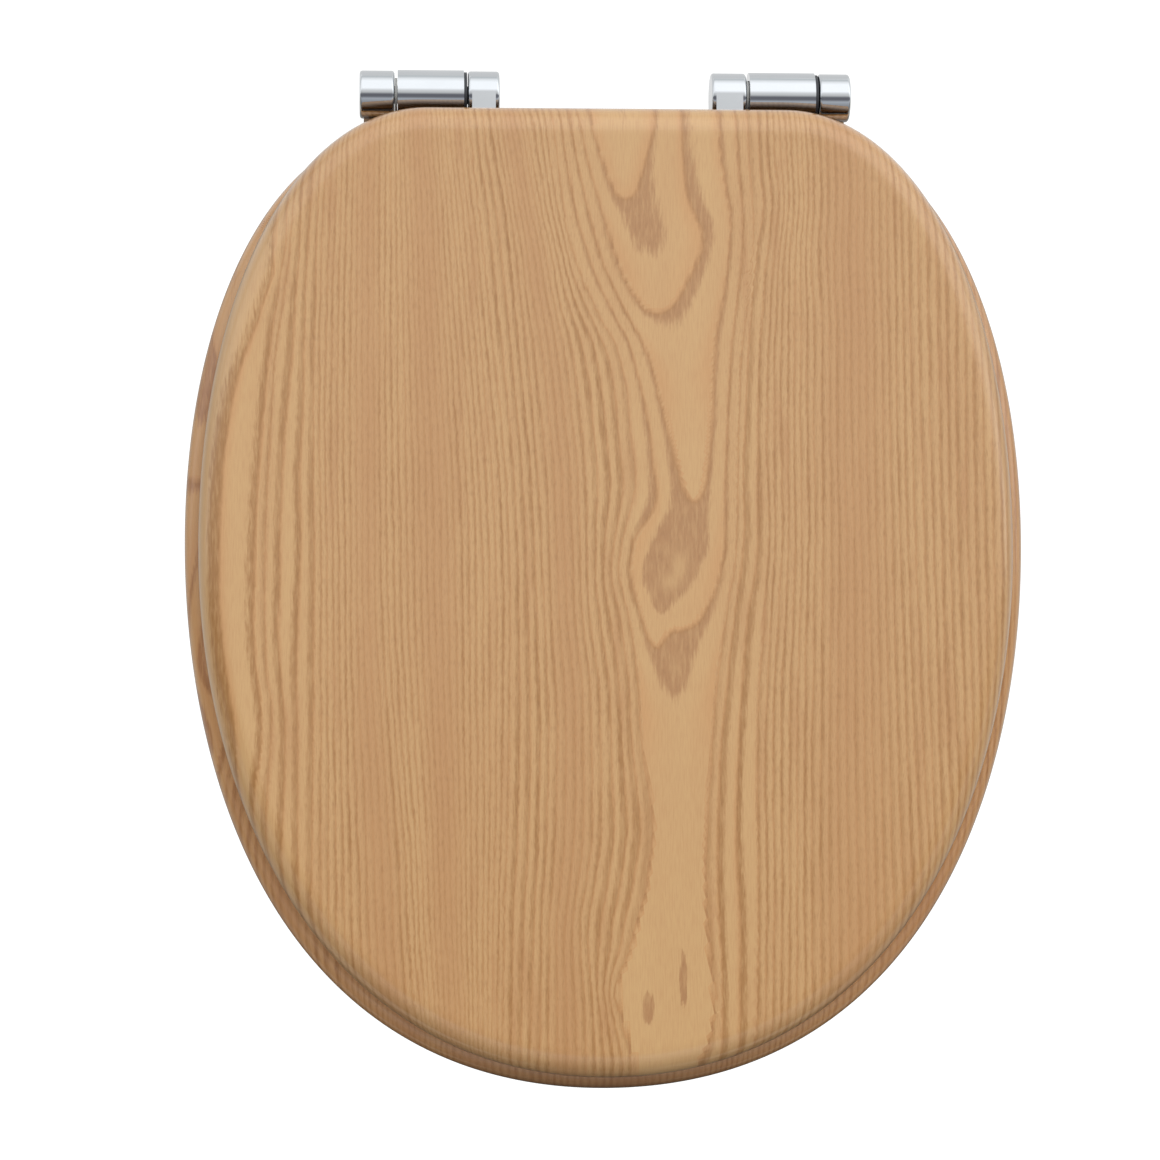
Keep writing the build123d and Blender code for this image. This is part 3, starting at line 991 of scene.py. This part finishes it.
@dataclass(frozen=True)
class MouldedFinish:
    """Moulded plastic or rubber with a fine spark-eroded grain and slight clouding."""

    name: str
    light: Colour
    deep: Colour
    grain: float = 0.25
    roughness: float = 0.43
    bite: float = 0.03
    cloud_grain: Triple = (6, 6, 6)
    grain_roughness: float = 0.15
    bite_strength: float = 0.4

    def material(self) -> bpy.types.Material:
        """Cloud the colour, vary the gloss and press in the mould's grain.

        Returns:
            The material.
        """
        s = FinishSketch(self.name)
        cloud = s.noise(s.place(), self.cloud_grain, 3)
        grain = s.noise(s.place(), (self.grain, self.grain, self.grain), 2)
        s.bump(grain, self.bite, self.bite_strength)
        colour = s.mix(cloud, self.light, self.deep)
        return s.set(base_color=colour, roughness=s.linear(grain, self.grain_roughness, self.roughness))


@dataclass(frozen=True)
class ZincFinish:
    """Bright zinc-plated steel with a faint spangle and drawn lines."""

    name: str = "bright_zinc"
    light: Colour = shade(205, 206, 204)
    deep: Colour = shade(176, 177, 172)
    spangle_grain: Triple = (1.6, 1.6, 2.4)
    drawn_grain: Triple = (0.3, 0.3, 3.0)
    roughness: float = 0.2
    spangle_roughness: float = 0.2
    drawn_depth: float = 0.02
    drawn_strength: float = 0.3

    def material(self) -> bpy.types.Material:
        """Mix two metal tones by spangle, vary the gloss and press in the drawn lines.

        Returns:
            The material.
        """
        s = FinishSketch(self.name)
        spangle = s.noise(s.place(), self.spangle_grain, 3)
        s.bump(s.noise(s.place(), self.drawn_grain, 2), self.drawn_depth, self.drawn_strength)
        colour = s.mix(spangle, self.light, self.deep)
        gloss = s.linear(spangle, self.spangle_roughness, self.roughness)
        return s.set(base_color=colour, roughness=gloss, metallic=1.0)


@dataclass
class Board:
    """A flat veneered board with a rounded rim: what the lid and the ring have in common."""

    piece: str
    node: str
    body: Body
    nose_length: float
    back_width: float
    nose_fullness: float
    top_round: float
    under_round: float
    around: int = 400
    back_points: int = 60
    flank_fullness: float = 0.50
    shoulder_fullness: float = 0.60
    corner_fullness: float = 0.56
    # Painted shade on the rim's walls, none unless a board gives some.
    painted_shades: tuple[PaintedEdgeShade, ...] = ()

    def __post_init__(self) -> None:
        """Take the board's outer sizes from the frame."""
        low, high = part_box(self.node)
        self.half = (high.x - low.x) / 2
        self.front, self.back = low.y, high.y
        self.bottom, self.top = low.z, high.z

    def rim(self) -> np.ndarray:
        """Outline seen from above: a straight back, then two cubic blends along each flank.

        Returns:
            Evenly spaced points, clockwise from the middle of the back.
        """
        straight = self.back_width / 2
        widest = self.front + self.nose_length
        shoulder, corner = self.back - widest, self.half - straight
        line = np.linspace((0, self.back), (straight, self.back), self.back_points)
        upper = bezier(
            (straight, self.back),
            (straight + corner * self.corner_fullness, self.back),
            (self.half, widest + shoulder * self.shoulder_fullness),
            (self.half, widest),
        )
        lower = bezier(
            (self.half, widest),
            (self.half, widest - self.nose_length * self.flank_fullness),
            (self.half * self.nose_fullness, self.front),
            (0, self.front),
        )
        return even_loop(np.vstack([line, upper[1:], lower[1:]]), self.around)

    def edge(self, turns: int = 12, drops: int = 6) -> np.ndarray:
        """Section of the rim: a quarter circle, a straight wall and a smaller quarter circle.

        Args:
            turns: Stations on each quarter circle.
            drops: Stations down the wall.

        Returns:
            For each station its inset from the outline, its height, and how far the veneer has run past the
            outline when it is laid flat.
        """
        quarter = np.linspace(0, math.pi / 2, turns)
        r, u = self.top_round, self.under_round
        wall = self.top - self.bottom - r - u
        down = np.linspace(0, wall, drops)[1:-1]
        bend, flat = math.pi / 2, np.zeros(drops - 2)
        upper = np.column_stack(
            [r - r * np.sin(quarter), self.top - r + r * np.cos(quarter), r * quarter - r]
        )
        side = np.column_stack([flat, self.top - r - down, r * bend - r + down])
        past = r * bend - r + wall
        lower = np.column_stack(
            [u - u * np.cos(quarter), self.bottom + u - u * np.sin(quarter), past + u * quarter]
        )
        return np.vstack([upper, side, lower])

    def band(self, loop: np.ndarray, normals: np.ndarray, painted_shades: tuple[PaintedEdgeShade, ...]) -> np.ndarray:
        """Carry the rim's section around a loop: inset against the normal, height up, veneer laid out flat.

        Args:
            loop: Outline points.
            normals: Outward normals of the outline.
            painted_shades: Painted shade on this rim.

        Returns:
            Rows of x, y, z, the two coordinates on the laid-out veneer, and the painted shade.
        """
        section = self.edge()
        inset, height, reach = (section[:, k, None, None] for k in range(3))
        plan = loop[None] - inset * normals[None]
        laid = loop[None] + reach * normals[None]
        size = (*plan.shape[:2], 1)
        # Painted shade: darker wood on the rim where it faces the front or the back.
        painted_shade = np.zeros(size) + sum(painted_shade.weigh(normals, section[:, 2])[..., None] for painted_shade in painted_shades)
        return np.concatenate([plan, np.broadcast_to(height, size), laid, painted_shade], axis=-1)

    def finish(
        self, points: np.ndarray, faces: list, veneer: bpy.types.Material, figure: VeneerFigure
    ) -> None:
        """Make the board's object, store its growth rings and painted shade, dress it and let it ride.

        Args:
            points: Points with their place on the veneer and their painted shade in the last three channels.
            faces: Faces.
            veneer: Material.
            figure: Growth rings of the sheet.
        """
        board = make_piece(self.piece, points, faces)
        # The painted shade goes on the mesh beside the growth rings.
        layers = figure.read(points[:, 3:5] / MM) | {"painted_shade": points[:, 5]}
        for name, values in layers.items():
            layer = board.data.attributes.new(name, "FLOAT", "POINT")
            layer.data.foreach_set("value", values.astype(np.float32))
        sheet = np.column_stack([points[:, 3:5], np.zeros(len(points))]).astype(np.float32)
        layer = board.data.attributes.new("sheet", "FLOAT_VECTOR", "POINT")
        layer.data.foreach_set("vector", sheet.ravel())
        settle(board, veneer, self.body, self.node)


@dataclass
class LidBoard(Board):
    """The lid: a closed board whose two faces run in to a middle point."""

    piece: str = "lid_board"
    node: str = "lid"
    body: Body = Body.LID
    nose_length: float = 0.235
    back_width: float = 0.160
    nose_fullness: float = 0.68
    top_round: float = 12 * MM
    under_round: float = 3 * MM
    top_rows: int = 120
    under_rows: int = 44
    under_start: float = 0.998
    under_crowding: float = 1.2
    under_shift: float = -0.060
    # Painted shade on the lid's back wall.
    painted_shades: tuple[PaintedEdgeShade, ...] = (PaintedEdgeShade(1, 0.85, 9.3 * MM, 4.5 * MM, 2),)

    def face(self, rim: np.ndarray, height: float, shares: np.ndarray) -> np.ndarray:
        """Fill a face by drawing its rim in towards the middle: rim times share plus middle times the rest.

        Args:
            rim: Edge of the face.
            height: Height of the face.
            shares: Share of the way out, row by row.

        Returns:
            Rows of x, y, z, the place on the veneer, which is the plan itself, and no painted shade.
        """
        middle = np.array((0.0, (self.front + self.back) / 2))
        plan = middle + (rim[None] - middle) * shares[:, None, None]
        size = (*plan.shape[:2], 1)
        return np.concatenate([plan, np.full(size, height), plan, np.zeros(size)], axis=-1)

    def build(self, veneer: bpy.types.Material, figure: VeneerFigure) -> None:
        """Lay the top, the rim and the underside as one grid from pole to pole.

        Args:
            veneer: Material.
            figure: Growth rings of the sheet.
        """
        loop = self.rim()
        normals = outward_normals(loop)
        rows_out = np.linspace(0, 1, self.top_rows)[1:-1]
        top = self.face(loop - normals * self.top_round, self.top, rows_out)
        rows_in = 1 - np.linspace(0, 1, self.under_rows)[1:-1] ** self.under_crowding
        under_rim = loop - normals * self.under_round
        under = self.face(under_rim, self.bottom, np.insert(rows_in, 0, self.under_start))
        under[..., 3] = self.under_shift - under[..., 3]
        rows = np.concatenate([top, self.band(loop, normals, self.painted_shades), under])
        points, quads, fans = shell(rows, False)
        self.finish(points, quads.tolist() + fans.tolist(), veneer, figure)


@dataclass
class RingBoard(Board):
    """The seat ring: the same kind of board with an egg-shaped opening."""

    piece: str = "ring_board"
    node: str = "seat_ring"
    body: Body = Body.SEAT
    nose_length: float = 0.245
    back_width: float = 0.180
    nose_fullness: float = 0.72
    top_round: float = 8 * MM
    under_round: float = 4 * MM
    side_rim: float = 0.074
    front_rim: float = 0.070
    back_rim: float = 0.077
    opening_nose: float = 0.150
    oval_fullness: float = 0.56
    top_rows: int = 44
    under_rows: int = 30
    sheet_shift: tuple[float, float] = (-0.162, 0.074)
    bumper_gap: float = 0.02 * MM
    # Painted shade on the ring's back wall, and on its front wall, strongest where it faces straight ahead.
    painted_shades: tuple[PaintedEdgeShade, ...] = (
        PaintedEdgeShade(1, 0.80, 9.0 * MM, 4.5 * MM, 2),
        PaintedEdgeShade(-1, 0.85, 6.0 * MM, 10.0 * MM, 8),
    )

    def __post_init__(self) -> None:
        """Take the outer sizes from the frame and leave a hair's gap under the lid's bumpers."""
        super().__post_init__()
        self.top -= self.bumper_gap

    def opening(self) -> np.ndarray:
        """Outline of the opening: two cubic blends on each side, widest a nose length behind its front.

        Returns:
            Evenly spaced points, clockwise from the middle of the back.
        """
        half = self.half - self.side_rim
        front, back = self.front + self.front_rim, self.back - self.back_rim
        widest, fullness = front + self.opening_nose, self.oval_fullness
        upper = bezier(
            (0, back),
            (half * fullness, back),
            (half, widest + (back - widest) * fullness),
            (half, widest),
        )
        lower = bezier(
            (half, widest),
            (half, widest - self.opening_nose * fullness),
            (half * fullness, front),
            (0, front),
        )
        return even_loop(np.vstack([upper, lower[1:]]), self.around)

    def build(self, veneer: bpy.types.Material, figure: VeneerFigure) -> None:
        """Lay the top, the inner rim, the underside and the outer rim as one grid that closes both ways.

        Args:
            veneer: Material.
            figure: Growth rings of the sheet.
        """
        outer, inner = self.rim(), self.opening()
        outward, inward = outward_normals(outer), -outward_normals(inner)
        outer_rim = self.band(outer, outward, self.painted_shades)
        inner_rim = self.band(inner, inward, ())
        across = np.linspace(0, 1, self.top_rows)[1:-1, None, None]
        top = outer_rim[:1] * (1 - across) + inner_rim[:1] * across
        beneath = np.linspace(0, 1, self.under_rows)[1:-1, None, None]
        under = inner_rim[-1:] * (1 - beneath) + outer_rim[-1:] * beneath
        under[..., 3:5] = under[..., :2] * (-1, 1)
        rows = np.concatenate([top, inner_rim, under, outer_rim[::-1]])
        rows[..., 3] = self.sheet_shift[0] - rows[..., 3]
        rows[..., 4] += self.sheet_shift[1]
        points, quads, _ = shell(rows, True)
        self.finish(points, quads.tolist(), veneer, figure)


@dataclass
class FixingSet:
    """The two studs below the hinge feet, with the thread that their nuts run on."""

    crest: float = 3.85 * MM
    root: float = 3.25 * MM
    pitch: float = 1.25 * MM
    flank: float = 1.3
    root_flat: float = 0.08
    shank: float = 4.0 * MM
    shank_top: float = 0.0
    shank_end: float = -18.0 * MM
    shank_rows: int = 6
    grip_gap: float = 0.1 * MM
    thread_gap: float = 0.2 * MM
    chamfer: float = 1.2 * MM
    chamfer_slope: float = 0.8
    columns: int = 32
    rows_per_turn: int = 8
    crease: float = 40.0

    def stud(self, side: str, steel: bpy.types.Material) -> None:
        """Turn one stud: radius is the shank's, then a triangle wave of height and angle, then a chamfer.

        Args:
            side: Side of the seat.
            steel: Material.
        """
        node = f"fixing_stud_{side}"
        low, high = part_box(node)
        thread_rows = int((self.shank_end - low.z) / self.pitch * self.rows_per_turn)
        grip = np.array((high.z, self.shank_top + self.grip_gap))
        smooth = np.linspace(self.shank_top, self.shank_end, self.shank_rows)
        thread = np.linspace(self.shank_end - self.thread_gap, low.z, thread_rows)
        height = np.concatenate([grip, smooth, thread])[:, None]
        turn = np.linspace(0, 2 * math.pi, self.columns, endpoint=False)[None, :]
        phase = np.mod(height / self.pitch + turn / (2 * math.pi), 1)
        ridge = np.clip(self.flank * np.abs(2 * phase - 1), self.root_flat, 1)
        cut = np.clip(low.z + self.chamfer - height, 0, None) * self.chamfer_slope
        wave = np.minimum(self.root + (self.crest - self.root) * ridge, self.crest - cut)
        smooth_or_wave = np.where(height >= self.shank_end, self.shank, wave)
        radius = np.where(height > self.shank_top, self.root, smooth_or_wave)
        rows = turned((low.x + high.x) / 2, (low.y + high.y) / 2, radius, height, turn)
        points, quads, fans = shell(rows, False)
        stud = make_piece(f"threaded_stud_{side}", points, quads.tolist() + fans.tolist(), self.crease)
        settle(stud, steel, Body.BASE, node)

    def build(self, steel: bpy.types.Material) -> None:
        """Turn both studs."""
        for side in SIDES:
            self.stud(side, steel)


@dataclass
class ScrewSet:
    """The countersunk cross-head screws of one pair of hinge arms."""

    node: str
    body: Body
    across: tuple[float, float]
    lines: tuple[float, float]
    head: float = 3.8 * MM
    core: float = 2.0 * MM
    slot_half: float = 0.55 * MM
    slot_reach: float = 2.2 * MM
    slot_depth: float = 1.5 * MM
    slot_wall: float = 0.35
    slot_end: float = 0.5
    rim: float = 0.3 * MM
    tip: float = 3.0 * MM
    face_rows: int = 26
    columns: int = 96
    crease: float = 35.0

    def screw(self, x: float, y: float, low: float, high: float) -> Skin:
        """Turn one screw, drive side down, and sink a cross into its face.

        The face is a grid of radius and angle whose depth falls off a narrow bar along x or along y,
        whichever is deeper there. Behind it the head tapers to the core, which ends in a point.

        Args:
            x: Place across.
            y: Place along.
            low: Height of the face.
            high: Height of the tip.

        Returns:
            Points, quads and fans.
        """
        turn = np.linspace(0, 2 * math.pi, self.columns, endpoint=False)[None, :]
        face = np.linspace(0, 1, self.face_rows)[1:, None] * self.head
        neck = self.rim + self.head - self.core
        back = np.array(((self.head, self.rim), (self.core, neck), (self.core, high - low - self.tip)))
        from_x, from_y = np.abs(face * np.cos(turn)), np.abs(face * np.sin(turn))
        bars = [
            np.clip((self.slot_half - side) / (self.slot_wall * self.slot_half), 0, 1)
            * np.clip((self.slot_reach - along) / (self.slot_end * self.slot_reach), 0, 1)
            for side, along in ((from_x, from_y), (from_y, from_x))
        ]
        sunk = low + self.slot_depth * np.maximum(*bars)
        radius = np.vstack([face, back[:, :1]])
        height = np.vstack([sunk, low + back[:, 1:] + 0 * turn])
        points, quads, fans = shell(turned(x, y, radius, height, turn), False)
        points[-1, 2] = high
        return points, quads, fans

    def build(self, steel: bpy.types.Material) -> None:
        """Turn the four screws of the pair as one piece.

        Args:
            steel: Material.
        """
        low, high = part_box(self.node)
        shells = [self.screw(x, y, low.z, high.z) for x in self.across for y in self.lines]
        points, faces = join_shells(shells)
        screws = make_piece(f"cross_head_{self.node}", points, faces, self.crease)
        settle(screws, steel, self.body, self.node)


@dataclass
class Dressing:
    """Gives every node that stays as it was built its finish."""

    chrome: bpy.types.Material
    collar: bpy.types.Material
    nylon: bpy.types.Material
    bumper: bpy.types.Material
    nut: bpy.types.Material
    rubber: bpy.types.Material
    zinc: bpy.types.Material

    def finish_of(self, node: str) -> bpy.types.Material:
        """Choose a finish by the start of a node's name.

        Args:
            node: Name of the node.

        Returns:
            Its material.
        """
        choices = {
            "hinge_post": self.chrome,
            "lid_arm": self.chrome,
            "seat_arm": self.chrome,
            "lid_bumper": self.bumper,
            "seat_bumper": self.bumper,
            "foot_pad": self.rubber,
            "cone_washer": self.rubber,
            "wing_nut": self.nut,
            "damper": self.collar,
            "hinge_pin": self.zinc,
            "thrust_washer": self.nylon,
        }
        return next(finish for start, finish in choices.items() if node.startswith(start))

    def dress(self, replaced: set[str]) -> None:
        """Put a finish on every node that no piece stands for.

        Args:
            replaced: Nodes that pieces stand for.
        """
        for name, node in sorted(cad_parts.items()):
            if name in replaced:
                continue
            finish = self.finish_of(name)
            for place in node.material_slots:
                place.material = finish
            log.info("%s: %s", name, finish.name)


@dataclass
class Studio:
    """Floor, sky, lamps and camera, in metres and watts, with the camera's roll in radians."""

    camera_at: Triple = (-0.0934, -0.2596, 1.5)
    aim: Triple = (-0.0119, -0.2052, 0.025)
    roll: float = -0.0021
    lens: float = 102.1
    sensor: float = 36.0
    white: Colour = (1.0, 1.0, 1.0, 1.0)
    floor_half: float = 3.0
    floor_grey: Colour = (0.2, 0.2, 0.2, 1.0)
    floor_roughness: float = 0.9
    floor_bounce: Colour = (1.0, 0.95, 0.87, 1.0)
    beside: Ramp = Ramp(-0.45, -0.25, 0.05, 0.28)
    behind: Ramp = Ramp(-0.03, 0.04, 0.0, 0.57)
    far_front: Ramp = Ramp(-1.0, -0.55, 0.10, 0.0)
    aside: Ramp = Ramp(0.19, 0.27, 0.0, 0.38)
    neutral: Ramp = Ramp(-0.03, 0.04)
    sky_tones: tuple[tuple[float, Triple], ...] = (
        (-180, (0.06, 0.06, 0.06)),
        (-90, (0.07, 0.07, 0.07)),
        (-60, (0.20, 0.20, 0.21)),
        (-28, (0.46, 0.48, 0.52)),
        (-18, (0.16, 0.16, 0.18)),
        (-7, (0.16, 0.16, 0.18)),
        (3, (0.66, 0.66, 0.66)),
        (10, (0.76, 0.76, 0.76)),
        (16, (0.98, 0.98, 0.99)),
        (22, (1.25, 1.26, 1.28)),
        (58, (1.25, 1.26, 1.28)),
        (72, (1.02, 1.03, 1.04)),
        (84, (0.66, 0.68, 0.69)),
        (180, (0.60, 0.61, 0.62)),
    )
    sky_left: float = 0.95
    sky_right: float = 1.4
    sky_white: float = 1.15
    key_at: Triple = (3.2, 4.6, 5.6)
    key_size: Point = (6.0, 4.4)
    key_power: float = 141.0
    fill_at: Triple = (-0.8, -4.7, 5.0)
    fill_size: Point = (5.0, 4.0)
    fill_power: float = 96.0

    def floor(self) -> None:
        """Lay a floor under the lowest point that the camera and all light from below pass through.

        Polished faces see graded tones on it: bright and neutral behind the hinges, warmer and dim in front,
        and brighter again to both sides.
        """
        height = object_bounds()[0][2]
        grid = np.linspace(-self.floor_half, self.floor_half, 2)
        x, y = np.meshgrid(grid, grid)
        points = np.column_stack([x.ravel(), y.ravel(), np.full(4, height)])
        floor = make_piece("floor", points, [[0, 1, 3, 2]])
        s = FinishSketch("white_floor")
        path, split = s.node("ShaderNodeLightPath"), s.node("ShaderNodeSeparateXYZ")
        s.feed(split.inputs[0], s.place())
        across, along = s.math("ABSOLUTE", split.outputs["X"]), split.outputs["Y"]
        length = s.math("ADD", s.follow(along, self.beside), s.follow(along, self.behind))
        ends = s.math("ADD", s.follow(along, self.far_front), s.follow(across, self.aside))
        tone = s.math("ADD", length, ends, clamp=True)
        tint = s.mix(s.follow(along, self.neutral), self.floor_bounce, self.white)
        mirrored = s.fill(s.node("ShaderNodeEmission"), tint, tone)
        lit = s.blend(path.outputs["Is Glossy Ray"], s.surface.outputs[0], mirrored)
        below = s.node("ShaderNodeNewGeometry").outputs["Backfacing"]
        passing = s.math("MAXIMUM", path.outputs["Is Camera Ray"], below)
        clear = s.node("ShaderNodeBsdfTransparent").outputs[0]
        s.feed(s.tree.nodes["Material Output"].inputs["Surface"], s.blend(passing, lit, clear))
        floor.data.materials.append(s.set(base_color=self.floor_grey, roughness=self.floor_roughness))
        floor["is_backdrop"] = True

    def sky(self) -> None:
        """Surround the part with a studio that is bright behind, dim in front and dark just before the top.

        The tone follows the angle of a direction from straight up, in degrees towards the back, in the plane
        across the hinge line. Its strength grows evenly from left to right. The camera itself sees white.
        """
        world = bpy.data.worlds.new("studio")
        bpy.context.scene.world = world
        world.use_nodes = True
        s = NodeSketch(world.node_tree)
        s.tree.nodes.clear()
        split = s.node("ShaderNodeSeparateXYZ")
        s.feed(split.inputs[0], s.node("ShaderNodeTexCoord").outputs["Generated"])
        angle = s.math("ARCTAN2", split.outputs["Y"], split.outputs["Z"])
        tones = s.node("ShaderNodeValToRGB")
        s.feed(tones.inputs[0], s.linear(angle, 0.5 / math.pi, 0.5))
        stops = tones.color_ramp.elements
        for degrees, tone in self.sky_tones[1:-1]:
            stops.new((degrees + 180) / 360).color = (*tone, 1)
        for end in (0, -1):
            stops[end].color = (*self.sky_tones[end][1], 1)
        middle = (self.sky_left + self.sky_right) / 2
        strength = s.linear(split.outputs["X"], self.sky_right - middle, middle)
        studio = s.fill(s.node("ShaderNodeBackground"), tones.outputs[0], strength)
        white = s.fill(s.node("ShaderNodeBackground"), self.white, self.sky_white)
        seen = s.blend(s.node("ShaderNodeLightPath").outputs["Is Camera Ray"], studio, white)
        s.feed(s.node("ShaderNodeOutputWorld").inputs["Surface"], seen)

    def lamp(self, name: str, place: Triple, size: Point, power: float) -> None:
        """Hang a wide soft lamp far off, turned to the seat and unseen in polished faces.

        Args:
            name: Name of the lamp.
            place: Where it hangs.
            size: Its width and height.
            power: Its power in watts.
        """
        light = bpy.data.lights.new(name, "AREA")
        light.shape = "RECTANGLE"
        light.size, light.size_y = size
        light.energy = power
        lamp = bpy.data.objects.new(name, light)
        lamp.location = place
        lamp.visible_glossy = False
        lamp.rotation_euler = (Vector(self.aim) - Vector(place)).to_track_quat("-Z", "Y").to_euler()
        bpy.context.scene.collection.objects.link(lamp)

    def camera(self) -> None:
        """Look almost straight down from slightly left, with the back of the seat at the top."""
        data = bpy.data.cameras.new("camera")
        data.lens, data.sensor_width = self.lens, self.sensor
        camera = bpy.data.objects.new("camera", data)
        forward = (Vector(self.aim) - Vector(self.camera_at)).normalized()
        right = forward.cross(Vector((0, 1, 0))).normalized()
        up = right.cross(forward)
        turn = Matrix((right, up, -forward)).transposed().to_4x4() @ Matrix.Rotation(self.roll, 4, "Z")
        camera.matrix_world = Matrix.Translation(self.camera_at) @ turn
        bpy.context.scene.collection.objects.link(camera)
        bpy.context.scene.camera = camera

    def build(self) -> None:
        """Set up the whole studio."""
        self.floor()
        self.sky()
        self.lamp("key", self.key_at, self.key_size, self.key_power)
        self.lamp("fill", self.fill_at, self.fill_size, self.fill_power)
        self.camera()
        bpy.context.scene.view_settings.view_transform = "Standard"


def main() -> None:
    """Build every piece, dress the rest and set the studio."""
    logging.basicConfig(level=logging.INFO, format="%(name)s: %(message)s")
    veneer, ruddy = VeneerFinish().material(), RuddyVeneerFinish().material()
    zinc = ZincFinish().material()
    LidBoard().build(veneer, VeneerFigure())
    RingBoard().build(ruddy, RingFigure())
    FixingSet().build(zinc)
    ScrewSet("lid_arm_screws", Body.LID, across=(-0.055, 0.05575), lines=(-0.0393, -0.0113)).build(zinc)
    ScrewSet("seat_arm_screws", Body.SEAT, across=(-0.10295, 0.1037), lines=(-0.046, -0.018)).build(zinc)
    rubber = MouldedFinish(
        "black_rubber", shade(48, 48, 49), shade(36, 36, 37), grain=0.4, roughness=0.58, bite=0.06
    )
    Dressing(
        chrome=ChromeFinish().material(),
        collar=MouldedFinish("dark_collar", shade(58, 60, 64), shade(44, 46, 50)).material(),
        nylon=MouldedFinish("white_nylon", shade(232, 232, 228), shade(220, 220, 214)).material(),
        bumper=MouldedFinish("soft_bumper", shade(216, 212, 204), shade(202, 198, 190)).material(),
        nut=MouldedFinish("white_nut", shade(234, 234, 230), shade(222, 222, 217)).material(),
        rubber=rubber.material(),
        zinc=zinc,
    ).dress({"lid", "seat_ring", "lid_arm_screws", "seat_arm_screws"} | {f"fixing_stud_{s}" for s in SIDES})
    Studio().build()


if __name__ == "__main__":
    main()
